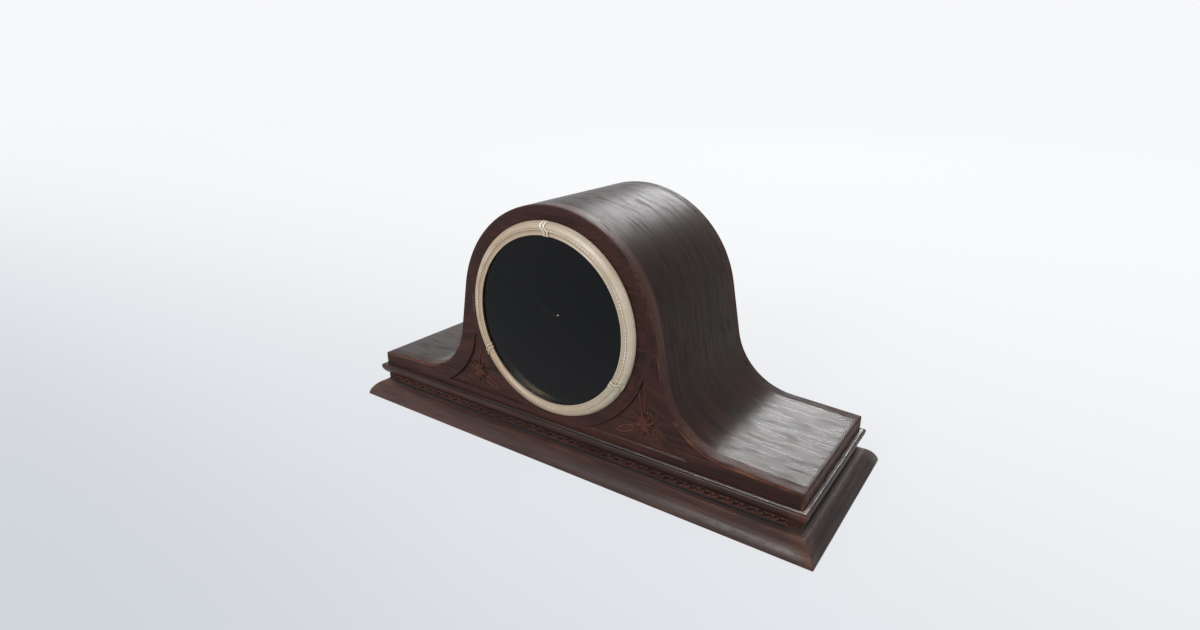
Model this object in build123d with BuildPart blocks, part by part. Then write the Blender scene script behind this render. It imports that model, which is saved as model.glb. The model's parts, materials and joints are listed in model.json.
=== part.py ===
from build123d import *

import math
import os

# A hump-backed shelf clock: wooden case, hinged bezel, back door and a spring-driven pendulum movement.
# Lengths are millimetres and angles are degrees. The origin is the middle of the underside, the front
# faces -Y and +Z is up. A depth is measured behind the front face of the case, a height in front of it.

# Case outline
body_width = 467.0
body_depth = 148.0
bezel_stand = 11.3
hump_border = 16.3
side_lean = 10.8
hollow_radius = 62.0
wing_tip_rise = 13.2
wing_fall = 2.9
tip_round = 1.5
seam_round = 0.2
skin_thickness = 6.0
front_thickness = 12.0
back_thickness = 10.0
front_edge_round = 5.0
end_block_width = 20.0
skin_overrun = 10.0

# Mouldings below the body
plinth_flare = 16.5
plinth_height = 16.6
plinth_toe = 1.0
ovolo_reach = 11.0
ovolo_rise = 12.9
ovolo_bulge = 1.8
cove_bulge = -0.6
frieze_height = 7.6
frieze_setback = 0.9
frieze_slip_margin = 0.6
frieze_slip_end = 9.0
bead_height = 10.4
bead_reach = 4.6
bead_lower_share = 0.67
bead_lower_bulge = 1.0
bead_top_run = 1.8
bead_top_bulge = 0.5

# Screws that hold the case on the base
case_screw_radius = 2.2
case_screw_head = 4.4
case_screw_head_height = 2.6
case_screw_sink = 0.4
case_screw_bite = 5.0
case_screw_spread = 45.0
screw_clearance = 0.1

# Spandrel recesses and their carved flowers
ring_border = 10.6
spandrel_inset = 17.5
spandrel_ledge = 7.4
spandrel_depth = 3.0
flower_turn = -37.1
flower_clear = 19.06
flower_radius = 4.0
flower_height = 2.4
petal_count = 8
petal_length = 10.0
petal_width = 4.6
petal_out = 6.0
petal_height = 1.6
leaf_turns = (98.0, 205.0, 318.0)
leaf_lengths = (25.0, 24.0, 17.0)
leaf_width = 4.2
leaf_height = 1.2

# Bezel, glass and the pan behind them
sight_radius = 76.3
bezel_width = 11.9
dial_lift = 3.6
bezel_gap = 0.3
bezel_lip = 6.0
bezel_cove_run = 4.1
bezel_cove_top = 6.8
bezel_cove_bulge = -0.7
bezel_bead_run = 1.6
bezel_bead_top = 6.6
bezel_bead_bulge = 0.5
bezel_edge_height = 3.2
bezel_round_bulge = 1.6
glass_thickness = 2.0
glass_front = 4.0
glass_cover = 3.1
glass_play = 0.2
retainer_thickness = 0.8
band_angles = (90.0, -30.0, 210.0)
band_width = 5.5
band_rise = 0.6
band_margin = 0.3
pan_flange_width = 7.3
pan_thickness = 0.8
pan_tube = 1.2
pan_play = 0.6
pan_seat_width = 6.0
dial_thickness = 1.0
dial_face_depth = 7.5
pan_screw_radius = 0.9
pan_screw_head = 1.6
pan_screw_length = 7.0
pan_screw_turns = (45.0, 135.0, 225.0, 315.0)
catch_radius = 1.0
catch_height = 1.8
catch_pocket_play = 0.4

# Bezel hinge on the left
bezel_hinge_radius = 1.6
bezel_hinge_out = 2.0
bezel_hinge_height = 1.9
bezel_pin_radius = 0.7
bezel_knuckle = 6.0
bezel_tab_thickness = 1.2
bezel_tab_run = 6.0
bezel_tang_depth = 6.0
bezel_tang_width = 2.0
running_clearance = 0.05
knuckle_gap = 0.2

# Dial furniture and hands
dial_rim_play = 0.3
mark_count = 12
mark_length = 9.0
mark_width = 2.0
mark_height = 0.4
mark_margin = 7.4
winding_hole_radius = 4.4
centre_hole_radius = 5.0
hour_hand_short = 22.0
minute_hand_short = 1.0
hand_thickness = 0.6
hand_hub_radius = 5.0
hand_root_width = 2.6
hand_tip_width = 0.8
hand_tail = 10.0
spade_share = 0.74
spade_length = 12.0
hour_spade_width = 8.0
minute_spade_width = 5.0
hour_hand_depth = 4.6
minute_hand_depth = 2.4
hour_at_rest = 305.0
minute_at_rest = 60.0
hand_nut_radius = 3.2
hand_nut_height = 1.4

# Back door and its fittings
door_half = 75.0
door_sill_drop = 78.0
door_gap = 0.6
door_lip = 4.0
door_lip_thickness = 2.0
door_hinge_radius = 1.8
door_pin_radius = 0.8
door_hinge_lift = 0.3
door_hinge_length = 24.0
door_leaf_width = 12.0
door_leaf_thickness = 1.0
door_hinge_drops = (16.0, 60.0)
knob_radius = 6.0
knob_neck = 3.0
knob_neck_length = 3.0
knob_height = 10.0
knob_inset = 13.0
button_length = 26.0
button_width = 8.0
button_thickness = 2.4
button_lift = 0.2
button_out = 9.0
button_screw_radius = 1.2
button_screw_head = 2.6
button_screw_head_height = 1.2
button_screw_bite = 6.0

# Movement plates
front_plate_depth = 22.0
plate_thickness = 2.0
plate_gap = 32.0
plate_margin = 11.0
plate_corner = 6.0
pillar_radius = 3.5
pillar_tail_radius = 2.0
pillar_tail = 2.0
pillar_nut_radius = 4.0
pillar_nut_height = 3.0
ear_radius = 6.0
ear_margin = 6.6
ear_turns = (40.0, 140.0, 220.0, 320.0)
post_radius = 4.0
mount_screw_radius = 1.8
mount_screw_head = 3.6
mount_screw_head_height = 2.0
mount_screw_bite = 8.0
end_shake = 0.3
pivot_radius = 0.9
arbor_radius = 1.2

# Going train: teeth on each wheel, leaves on the pinion that it drives, and their centre distances
great_teeth = 60
second_leaves = 10
second_teeth = 48
centre_leaves = 8
centre_teeth = 72
third_leaves = 6
third_teeth = 72
escape_leaves = 6
great_distance = 33.6
second_distance = 28.0
centre_distance = 27.3
third_distance = 23.4
barrel_drop = 54.0
third_turn = 126.0
wheel_thickness = 1.6
great_thickness = 2.2
tooth_width_share = 0.36
tooth_tip_share = 0.14
addendum_share = 0.7
dedendum_share = 0.9
trundle_share = 0.4
shroud_margin = 0.4
shroud_thickness = 0.8
pinion_length = 5.2
rim_width = 2.6
hub_radius = 4.0
spoke_width = 2.2
spoke_count = 4
second_level = 3.2
great_level = 8.6
centre_level = 14.0
third_level = 20.6
escape_level = 27.6

# Barrel, mainspring and winding
drum_radius = 26.0
drum_wall = 1.2
drum_length = 17.0
cap_thickness = 1.2
spring_thickness = 0.6
spring_pitch = 2.2
spring_start = 9.0
spring_half_turns = 13
spring_margin = 0.2
winding_radius = 3.0
winding_hub = 6.0
winding_pivot = 2.4
winding_square = 3.6
winding_end_depth = 4.0
ratchet_teeth = 24
ratchet_radius = 9.0
ratchet_tooth = 1.6
ratchet_thickness = 2.0
ratchet_lift = 0.4
click_nose_gap = 0.3
click_length = 13.0
click_width = 3.2
click_turn = 20.0
click_pin_radius = 1.2
click_head_radius = 2.2
click_head_height = 0.8

# Motion work
cannon_leaves = 12
minute_teeth = 36
minute_leaves = 10
hour_teeth = 40
motion_distance = 24.0
motion_turn = 0.0
cannon_lift = 1.0
cannon_length = 3.6
cannon_pipe = 2.3
cannon_neck = 1.9
hour_lift = 6.2
hour_pipe_wall = 0.9
minute_pinion_length = 3.4
stud_radius = 1.2

# Escapement and pendulum
escape_teeth = 40
escape_radius = 15.0
escape_tooth = 2.4
escape_thickness = 1.2
escape_lean_share = 0.3
escape_rim = 2.0
escape_hub = 3.2
anchor_span = 8.5
pallet_gap = 0.12
pallet_length = 4.4
pallet_width = 0.7
anchor_thickness = 3.0
anchor_hub = 3.0
anchor_arm = 2.2
crutch_depth_gap = 2.0
crutch_thickness = 1.0
crutch_width = 3.0
crutch_length = 27.0
crutch_hub = 3.0
prong_radius = 0.8
prong_play = 0.15
pendulum_depth_gap = 12.0
pendulum_length = 97.0
rod_radius = 1.4
rod_tail = 8.0
bob_radius = 20.0
bob_thickness = 10.0
bob_edge = 2.0
nut_radius = 4.0
nut_height = 4.0
nut_gap = 0.1
spring_strip_width = 5.0
spring_strip_thickness = 0.4
spring_strip_length = 11.0
chop_height = 5.0
chop_width = 6.0
chop_thickness = 3.6
hang_pin_radius = 1.0
hang_pin_length = 11.0
cock_width = 8.0
cock_ear = 2.5
cock_gap = 6.6
cock_arm = 4.0
cock_drop = 3.0
cock_foot_height = 9.0
cock_foot_width = 22.0
cock_foot_thickness = 2.0
cock_clear = 4.0
cock_screw_radius = 1.4
cock_screw_head = 2.4
cock_screw_head_height = 1.4
cock_screw_spread = 7.5

# What follows from those sizes
body_half = body_width / 2
body_floor = plinth_height + frieze_height + bead_height
bezel_radius = sight_radius + bezel_width
hump_radius = bezel_radius + hump_border
dial_centre = body_floor + bezel_stand + bezel_radius
hump_centre = dial_centre - dial_lift
crown = hump_centre + hump_radius
front_face = -body_depth / 2
back_face = body_depth / 2
front_inner = front_face + front_thickness
back_inner = back_face - back_thickness
base_width = body_width + 2 * plinth_flare
base_depth = body_depth + 2 * plinth_flare
ring_radius = bezel_radius + ring_border
spandrel_floor = body_floor + spandrel_ledge
bezel_back = pan_thickness + bezel_gap
glass_radius = sight_radius + glass_cover
pan_inner = sight_radius + glass_cover - pan_tube
pan_outer = pan_inner + pan_tube
dial_hole_radius = pan_outer + pan_play
pan_flange = pan_outer + pan_flange_width
pan_screw_circle = (pan_outer + pan_flange) / 2
dial_back_depth = dial_face_depth + dial_thickness
dial_radius = pan_inner - dial_rim_play
mark_radius = dial_radius - mark_margin - mark_length / 2
hour_hand_length = mark_radius - hour_hand_short
minute_hand_length = mark_radius - minute_hand_short
dial_axis = Axis((0, 0, dial_centre), (0, 1, 0))
plate_inner = front_plate_depth + plate_thickness
back_plate_depth = plate_inner + plate_gap
back_plate_rear = back_plate_depth + plate_thickness
os.makedirs("parts", exist_ok=True)


# Places and helpers
def polar(angle, length):
    """Point at an angle and a distance from the origin of a sketch."""
    return (length * math.cos(math.radians(angle)), length * math.sin(math.radians(angle)))


def shifted(place, angle, length):
    """Point at an angle and a distance from another point."""
    step = polar(angle, length)
    return (place[0] + step[0], place[1] + step[1])


def bearing(start, end):
    """Angle of the line from one point to another."""
    return math.degrees(math.atan2(end[1] - start[1], end[0] - start[0]))


def facing(place, depth):
    """Plane that looks forward, at a place beside and above the dial centre, at a depth."""
    origin = (place[0], front_face + depth, dial_centre + place[1])
    return Plane(origin=origin, x_dir=(1, 0, 0), z_dir=(0, -1, 0))


def standing(depth):
    """Plane that looks forward from the middle of the underside, at a depth."""
    return Plane(origin=(0, front_face + depth, 0), x_dir=(1, 0, 0), z_dir=(0, -1, 0))


def radial(angle):
    """Plane through the dial axis whose x runs out at an angle and whose y runs forward."""
    ahead = polar(angle, 1)
    origin = (0, front_face, dial_centre)
    return Plane(origin=origin, x_dir=(ahead[0], 0, ahead[1]), z_dir=(ahead[1], 0, -ahead[0]))


def slab(face, place, near, far, mode=Mode.ADD):
    """Extrude a face drawn about a place on the dial, between two depths."""
    extrude(facing(place, far) * face, amount=far - near, mode=mode)


def rod(place, radius, near, far, mode=Mode.ADD):
    """Round bar along the depth, at a place on the dial, between two depths."""
    with Locations((place[0], front_face + (near + far) / 2, dial_centre + place[1])):
        Cylinder(radius=radius, height=far - near, rotation=(90, 0, 0), mode=mode)


def post(x, y, radius, low, high, mode=Mode.ADD):
    """Upright round bar between two levels."""
    with Locations((x, y, (low + high) / 2)):
        Cylinder(radius=radius, height=high - low, mode=mode)


def block(x_span, y_span, z_span, mode=Mode.ADD):
    """Box given by its two ends along each axis."""
    middle = [(span[0] + span[1]) / 2 for span in (x_span, y_span, z_span)]
    with Locations(tuple(middle)):
        Box(x_span[1] - x_span[0], y_span[1] - y_span[0], z_span[1] - z_span[0], mode=mode)


def bowed(start, end, bulge):
    """Arc between two points that bulges to the right of the way from start to end."""
    run = (end[0] - start[0], end[1] - start[1])
    length = math.hypot(run[0], run[1])
    middle = ((start[0] + end[0]) / 2, (start[1] + end[1]) / 2)
    peak = (middle[0] + bulge * run[1] / length, middle[1] - bulge * run[0] / length)
    return ThreePointArc(start, peak, end)


def hat_face(inset, floor, half_width, tip_radius):
    """Front outline of the case, drawn in by an inset and closed along a floor."""
    radius = hump_radius - inset
    lean = math.radians(side_lean)
    fall = math.tan(math.radians(wing_fall))
    touch = (radius * math.cos(lean), hump_centre + radius * math.sin(lean))
    wing_start = body_floor + wing_tip_rise + body_half * fall - inset * math.hypot(1, fall)
    slope = math.tan(lean)
    corner_z = (wing_start - fall * (touch[0] + slope * touch[1])) / (1 - fall * slope)
    corner = (touch[0] + slope * (touch[1] - corner_z), corner_z)
    tip = (half_width, wing_start - fall * half_width)
    foot = (half_width, floor)
    with BuildSketch() as face:
        with BuildLine():
            CenterArc((0, hump_centre), radius, 90, side_lean - 90)
            FilletPolyline(touch, corner, tip, foot, radius=[hollow_radius + inset, tip_radius])
            Line(foot, (0, floor))
            mirror(about=Plane.YZ)
        make_face()
    return face.sketch_local


def plinth_section(half):
    """Section of the base board, flared and moulded at both ends."""
    toe = (half + plinth_flare, plinth_toe)
    knee = (toe[0] - ovolo_reach, toe[1] + ovolo_rise)
    neck = (half, plinth_height)
    with BuildSketch() as face:
        with BuildLine():
            Polyline((0, 0), (toe[0], 0), toe)
            bowed(toe, knee, ovolo_bulge)
            bowed(knee, neck, cove_bulge)
            Line(neck, (0, plinth_height))
            mirror(about=Plane.YZ)
        make_face()
    return face.sketch_local


def bead_section(half):
    """Section of the bead moulding, with its round edge at both ends."""
    low = plinth_height + frieze_height
    root = (half, low)
    nose = (half + bead_reach, low + bead_lower_share * bead_height)
    top = (nose[0] - bead_top_run, body_floor)
    with BuildSketch() as face:
        with BuildLine():
            Line((0, low), root)
            bowed(root, nose, bead_lower_bulge)
            bowed(nose, top, bead_top_bulge)
            Line(top, (0, body_floor))
            mirror(about=Plane.YZ)
        make_face()
    return face.sketch_local


def spandrel_face():
    """The two sunk corners between the dial ring, the outline and the ledge."""
    with BuildSketch() as face:
        add(hat_face(spandrel_inset, body_floor - spandrel_inset, body_half, seam_round))
        with Locations((0, dial_centre)):
            Circle(ring_radius, mode=Mode.SUBTRACT)
        with Locations((0, spandrel_floor)):
            Rectangle(body_width, crown, align=(Align.CENTER, Align.MIN), mode=Mode.INTERSECT)
    return face.sketch_local


def door_face(half, sill):
    """Arched shape of the back door or of its opening."""
    with BuildSketch() as face:
        with Locations((0, dial_centre)):
            Circle(half)
        with Locations((0, sill)):
            Rectangle(2 * half, dial_centre - sill, align=(Align.CENTER, Align.MIN))
    return face.sketch_local


def bezel_section(rise, inner):
    """Section of the bezel: radius across, height in front of the case up."""
    lip = (inner, bezel_lip + rise)
    cove = (sight_radius + bezel_cove_run, bezel_cove_top + rise)
    bead = (cove[0] + bezel_bead_run, bezel_bead_top + rise)
    edge = (bezel_radius + rise, bezel_edge_height)
    with BuildSketch() as face:
        with BuildLine():
            Line((inner, glass_front), lip)
            bowed(lip, cove, -bezel_cove_bulge)
            bowed(cove, bead, -bezel_bead_bulge)
            bowed(bead, edge, -bezel_round_bulge)
            Polyline(edge, (edge[0], bezel_back), (glass_radius + glass_play, bezel_back))
            Polyline((glass_radius + glass_play, bezel_back), (glass_radius + glass_play, glass_front))
            Line((glass_radius + glass_play, glass_front), (inner, glass_front))
        make_face()
    return face.sketch_local


def toothed_face(teeth, module, phase):
    """Outline of a wheel with straight-sided teeth, one of them at the phase angle."""
    radius = teeth * module / 2
    tip = radius + addendum_share * module
    root = radius - dedendum_share * module
    taper_share = (tooth_width_share - tooth_tip_share) / addendum_share
    root_share = tooth_width_share + taper_share * dedendum_share
    corners = ((root, -root_share), (tip, -tooth_tip_share), (tip, tooth_tip_share), (root, root_share))
    half_pitch = 180 / teeth
    points = []
    for tooth in range(teeth):
        middle = phase + 2 * tooth * half_pitch
        for length, share in corners:
            points.append(polar(middle + share * half_pitch, length))
    with BuildSketch() as face:
        with BuildLine():
            Polyline(*points, close=True)
        make_face()
    return face.sketch_local


def pointed_face(teeth, tip, depth, lean_share, phase):
    """Outline of a wheel with leaning pointed teeth, one point at the phase angle."""
    pitch = 360 / teeth
    points = []
    for tooth in range(teeth):
        middle = phase + tooth * pitch
        points.append(polar(middle, tip))
        points.append(polar(middle + lean_share * pitch, tip - depth))
        points.append(polar(middle + (1 - lean_share / 2) * pitch, tip - depth))
    with BuildSketch() as face:
        with BuildLine():
            Polyline(*points, close=True)
        make_face()
    return face.sketch_local


def crossing_face(rim, hub):
    """The windows between the spokes of a wheel."""
    with BuildSketch() as face:
        Circle(rim)
        Circle(hub, mode=Mode.SUBTRACT)
        with PolarLocations(rim / 2, spoke_count):
            Rectangle(rim + hub, spoke_width, mode=Mode.SUBTRACT)
    return face.sketch_local


def ring_face(outer, inner):
    """Flat ring."""
    with BuildSketch() as face:
        Circle(outer)
        Circle(inner, mode=Mode.SUBTRACT)
    return face.sketch_local


def lantern(place, leaves, module, phase, level):
    """Lantern pinion: two end discs with round trundles between them, about a level."""
    near = plate_inner + level - pinion_length / 2
    far = near + pinion_length
    pitch_radius = leaves * module / 2
    trundle = trundle_share * math.pi * module / 2
    shroud = pitch_radius + trundle + shroud_margin
    rod(place, shroud, near, near + shroud_thickness)
    rod(place, shroud, far - shroud_thickness, far)
    with BuildSketch() as pins:
        with PolarLocations(pitch_radius, leaves, start_angle=phase):
            Circle(trundle)
    slab(pins.sketch_local, place, near, far)


def spoked_wheel(place, teeth, module, phase, level, hub):
    """Toothed wheel with spokes, centred on a level between the plates."""
    near = plate_inner + level - wheel_thickness / 2
    far = near + wheel_thickness
    slab(toothed_face(teeth, module, phase), place, near, far)
    root = teeth * module / 2 - dedendum_share * module
    slab(crossing_face(root - rim_width, hub), place, near, far, Mode.SUBTRACT)


def pivoted_arbor(place):
    """Arbor between the plates with a thinner pivot in each of them."""
    rod(place, arbor_radius, plate_inner + end_shake, back_plate_depth - end_shake)
    rod(place, pivot_radius, front_plate_depth, back_plate_rear)


def countersunk(x, y, radius, head, head_height, low, high, mode=Mode.ADD):
    """Upright screw whose flat head is at its lower end."""
    post(x, y, radius, low, high, mode)
    with Locations((x, y, low + head_height / 2)):
        Cone(bottom_radius=head, top_radius=radius, height=head_height, mode=mode)


# Where the train stands, beside and above the dial centre
great_module = 2 * great_distance / (great_teeth + second_leaves)
second_module = 2 * second_distance / (second_teeth + centre_leaves)
centre_module = 2 * centre_distance / (centre_teeth + third_leaves)
third_module = 2 * third_distance / (third_teeth + escape_leaves)
centre_place = (0, 0)
barrel_place = (0, -barrel_drop)
second_fall = (second_distance**2 - great_distance**2 + barrel_drop**2) / (2 * barrel_drop)
second_place = (math.sqrt(second_distance**2 - second_fall**2), -second_fall)
third_place = polar(third_turn, centre_distance)
escape_rise = third_place[1] + math.sqrt(third_distance**2 - third_place[0] ** 2)
escape_place = (0, escape_rise)
anchor_half_angle = anchor_span * 180 / escape_teeth
anchor_rise = escape_radius / math.cos(math.radians(anchor_half_angle))
anchor_place = (0, escape_rise + anchor_rise)
hang_z = dial_centre + anchor_place[1]
great_tip = great_module * (great_teeth / 2 + addendum_share)
plate_low = -barrel_drop - plate_margin
plate_high = anchor_place[1] + plate_margin
plate_half = great_tip + plate_margin
pillar_places = [
    (side * (plate_half - pillar_radius - pillar_nut_radius / 2), level)
    for side in (-1, 1)
    for level in (plate_low + pillar_radius, plate_high - pillar_radius)
]
ear_circle = dial_hole_radius + ear_margin
ear_places = [polar(turn, ear_circle) for turn in ear_turns]
wheel_places = [second_place, third_place, escape_place, anchor_place]

# Case: three moulded boards
screw_x = body_half - end_block_width / 2
screw_places = [(side_x * screw_x, side_y * case_screw_spread) for side_x in (-1, 1) for side_y in (-1, 1)]
frieze_low = plinth_height
bead_low = plinth_height + frieze_height

with BuildPart() as plinth:
    with BuildSketch(Plane.XZ):
        add(plinth_section(body_half))
    extrude(amount=base_depth / 2, both=True)
    with BuildSketch(Plane.YZ):
        add(plinth_section(body_depth / 2))
    extrude(amount=base_width / 2, both=True, mode=Mode.INTERSECT)
    for x, y in screw_places:
        hole_radius = case_screw_radius + screw_clearance
        hole_height = case_screw_head_height + case_screw_sink
        hole_slope = (case_screw_head - case_screw_radius) / case_screw_head_height
        hole_head = hole_radius + hole_slope * hole_height
        countersunk(x, y, hole_radius, hole_head, hole_height, 0, plinth_height, Mode.SUBTRACT)
plinth.part.label = "plinth"

with BuildPart() as frieze_board:
    frieze_x = body_half - frieze_setback
    frieze_y = body_depth / 2 - frieze_setback
    block((-frieze_x, frieze_x), (-frieze_y, frieze_y), (frieze_low, bead_low))
    for x, y in screw_places:
        post(x, y, case_screw_radius + screw_clearance, frieze_low, bead_low, Mode.SUBTRACT)
frieze_board.part.label = "frieze_board"

with BuildPart() as frieze_carving:
    slip_x = frieze_x - frieze_slip_end
    slip_span = (frieze_low + frieze_slip_margin, bead_low - frieze_slip_margin)
    block((-slip_x, slip_x), (front_face, front_face + frieze_setback), slip_span)
frieze_carving.part.label = "frieze_carving"

with BuildPart() as bead_moulding:
    with BuildSketch(Plane.XZ):
        add(bead_section(body_half))
    extrude(amount=base_depth / 2, both=True)
    with BuildSketch(Plane.YZ):
        add(bead_section(body_depth / 2))
    extrude(amount=base_width / 2, both=True, mode=Mode.INTERSECT)
    for x, y in screw_places:
        post(x, y, case_screw_radius + screw_clearance, bead_low, body_floor, Mode.SUBTRACT)
bead_moulding.part.label = "bead_moulding"

with BuildPart() as case_screws:
    screw_top = body_floor + case_screw_bite
    for x, y in screw_places:
        head = (case_screw_head, case_screw_head_height)
        countersunk(x, y, case_screw_radius, *head, case_screw_sink, screw_top)
case_screws.part.label = "case_screws"

# Case: front, bent skin, ends and back
hinge_x = -(bezel_radius + bezel_hinge_out)
hinge_y = front_face - bezel_hinge_height
tang_x = (hinge_x - bezel_tang_width / 2, hinge_x + bezel_tang_width / 2)
knuckle_spans = [
    (dial_centre - 1.5 * bezel_knuckle, dial_centre - bezel_knuckle / 2 - knuckle_gap),
    (dial_centre + bezel_knuckle / 2 + knuckle_gap, dial_centre + 1.5 * bezel_knuckle),
]
pan_screw_places = [polar(turn, pan_screw_circle) for turn in pan_screw_turns]

with BuildPart() as front_panel:
    with BuildSketch(standing(front_thickness)):
        add(hat_face(0, body_floor, body_half, tip_round))
    extrude(amount=front_thickness)
    front_edges = front_panel.faces().sort_by(Axis.Y)[0].edges()
    round_edges = front_edges.filter_by(lambda edge: edge.center().Z > body_floor + tip_round)
    fillet(round_edges, radius=front_edge_round)
    rod(centre_place, dial_hole_radius, 0, front_thickness, Mode.SUBTRACT)
    with BuildSketch(standing(spandrel_depth)):
        add(spandrel_face())
    extrude(amount=spandrel_depth, mode=Mode.SUBTRACT)
    for place in pan_screw_places:
        rod(place, pan_screw_radius, 0, pan_screw_length, Mode.SUBTRACT)
    for place in ear_places:
        rod(place, mount_screw_radius, front_thickness - mount_screw_bite, front_thickness, Mode.SUBTRACT)
    for span in knuckle_spans:
        block(tang_x, (front_face, front_face + bezel_tang_depth), span, Mode.SUBTRACT)
front_panel.part.label = "front_panel"

with BuildPart() as case_skin:
    with BuildSketch(standing(body_depth - back_thickness)):
        add(hat_face(0, body_floor, body_half, tip_round))
        void_floor = body_floor - skin_thickness
        add(hat_face(skin_thickness, void_floor, body_half + skin_overrun, seam_round), mode=Mode.SUBTRACT)
    extrude(amount=body_depth - back_thickness - front_thickness)
case_skin.part.label = "case_skin"


def end_block_face(side):
    """Section of the block that closes one wing end, under the skin."""
    with BuildSketch() as face:
        add(hat_face(skin_thickness, body_floor, body_half, seam_round))
        with Locations((side * screw_x, body_floor)):
            Rectangle(end_block_width, crown, align=(Align.CENTER, Align.MIN), mode=Mode.INTERSECT)
    return face.sketch_local


with BuildPart() as end_blocks:
    for side in (-1, 1):
        extrude(
            standing(body_depth - back_thickness) * end_block_face(side),
            amount=body_depth - back_thickness - front_thickness,
        )
    for x, y in screw_places:
        post(x, y, case_screw_radius, body_floor, screw_top, Mode.SUBTRACT)
end_blocks.part.label = "end_blocks"

door_sill = dial_centre - door_sill_drop
button_x = -(door_half + button_out)
button_z = dial_centre - door_half / 2
button_y = back_face + button_lift

with BuildPart() as back_panel:
    with BuildSketch(standing(body_depth)):
        add(hat_face(0, body_floor, body_half, tip_round))
    extrude(amount=back_thickness)
    with BuildSketch(standing(body_depth)):
        add(door_face(door_half, door_sill))
    extrude(amount=back_thickness - door_lip_thickness, mode=Mode.SUBTRACT)
    with BuildSketch(standing(body_depth)):
        add(door_face(door_half - door_lip, door_sill + door_lip))
    extrude(amount=back_thickness, mode=Mode.SUBTRACT)
    with Locations((button_x, back_face - button_screw_bite / 2, button_z)):
        Cylinder(button_screw_radius, button_screw_bite, rotation=(90, 0, 0), mode=Mode.SUBTRACT)
back_panel.part.label = "back_panel"

# Carved flowers in the spandrels
carving_depth = spandrel_depth


def carving(side):
    """Carved flower and leaves for one spandrel; side is 1 on the right and -1 on the left."""
    place = polar(flower_turn, ring_radius + flower_clear)
    middle = (side * place[0], place[1])
    with BuildSketch() as petals:
        with PolarLocations(petal_out, petal_count):
            Ellipse(petal_length / 2, petal_width / 2)
    with BuildSketch() as leaves:
        for turn, length in zip(leaf_turns, leaf_lengths):
            heading = turn if side > 0 else 180 - turn
            with Locations(Location((*polar(heading, length / 2), 0), heading)):
                Ellipse(length / 2, leaf_width / 2)
    with BuildPart() as flower:
        slab(petals.sketch_local, middle, carving_depth - petal_height, carving_depth)
        slab(leaves.sketch_local, middle, carving_depth - leaf_height, carving_depth)
        rod(middle, flower_radius, carving_depth - flower_height, carving_depth)
    return flower


with BuildPart() as left_carving:
    add(carving(-1).part)
left_carving.part.label = "left_carving"

with BuildPart() as right_carving:
    add(carving(1).part)
right_carving.part.label = "right_carving"

# Dial pan, dial and marks
with BuildPart() as dial_pan:
    with BuildSketch(radial(0)):
        with BuildLine():
            Polyline(
                (pan_inner, pan_thickness),
                (pan_flange, pan_thickness),
                (pan_flange, 0),
                (pan_outer, 0),
                (pan_outer, -dial_back_depth - pan_thickness),
                (pan_outer - pan_seat_width, -dial_back_depth - pan_thickness),
                (pan_outer - pan_seat_width, -dial_back_depth),
                (pan_inner, -dial_back_depth),
                close=True,
            )
        make_face()
    revolve(axis=dial_axis)
    catch_place = (pan_screw_circle, 0)
    rod(catch_place, catch_radius, -pan_thickness - catch_height, 0)
    fillet(dial_pan.faces().sort_by(Axis.Y)[0].edges(), radius=catch_radius / 2)
    for place in pan_screw_places:
        rod(place, pan_screw_radius + screw_clearance, -pan_thickness, 0, Mode.SUBTRACT)
        with Locations((place[0], front_face - pan_thickness / 2, dial_centre + place[1])):
            Cone(
                bottom_radius=pan_screw_head + screw_clearance,
                top_radius=pan_screw_radius + screw_clearance,
                height=pan_thickness,
                rotation=(-90, 0, 0),
                mode=Mode.SUBTRACT,
            )
dial_pan.part.label = "dial_pan"

with BuildPart() as pan_screws:
    for place in pan_screw_places:
        rod(place, pan_screw_radius, -pan_thickness, pan_screw_length)
        with Locations((place[0], front_face - pan_thickness / 2, dial_centre + place[1])):
            Cone(pan_screw_head, pan_screw_radius, pan_thickness, rotation=(-90, 0, 0))
pan_screws.part.label = "pan_screws"

with BuildPart() as dial_plate:
    rod(centre_place, dial_radius, dial_face_depth, dial_back_depth)
    rod(centre_place, centre_hole_radius, dial_face_depth, dial_back_depth, Mode.SUBTRACT)
    rod(barrel_place, winding_hole_radius, dial_face_depth, dial_back_depth, Mode.SUBTRACT)
dial_plate.part.label = "dial_plate"

with BuildPart() as hour_marks:
    with BuildSketch(facing(centre_place, dial_face_depth)):
        with PolarLocations(mark_radius, mark_count):
            Rectangle(mark_length, mark_width)
    extrude(amount=mark_height)
hour_marks.part.label = "hour_marks"

# Bezel with its bands, glass, retainer and hinge
tab_z = (dial_centre - bezel_knuckle / 2, dial_centre + bezel_knuckle / 2)
tab_x = (hinge_x, hinge_x + bezel_hinge_out + bezel_tab_run)
tab_y = (front_face - bezel_back - bezel_tab_thickness, front_face - bezel_back)

with BuildPart() as bezel_ring:
    with BuildSketch(radial(0)):
        add(bezel_section(0, sight_radius))
    revolve(axis=dial_axis)
    block(tab_x, tab_y, tab_z, Mode.SUBTRACT)
    pocket_depth = -bezel_back - catch_height
    rod(catch_place, catch_radius + catch_pocket_play, pocket_depth, -bezel_back, Mode.SUBTRACT)
bezel_ring.part.label = "bezel_ring"

with BuildPart() as bezel_bands:
    band_sweep = math.degrees(band_width / (sight_radius + bezel_width / 2))
    for angle in band_angles:
        with BuildSketch(radial(angle + band_sweep / 2)):
            add(bezel_section(band_rise, sight_radius + band_margin))
        revolve(axis=dial_axis, revolution_arc=band_sweep)
    add(bezel_ring.part, mode=Mode.SUBTRACT)
bezel_bands.part.label = "bezel_bands"

with BuildPart() as glass:
    rod(centre_place, glass_radius, -glass_front, -glass_front + glass_thickness)
glass.part.label = "glass"

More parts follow.
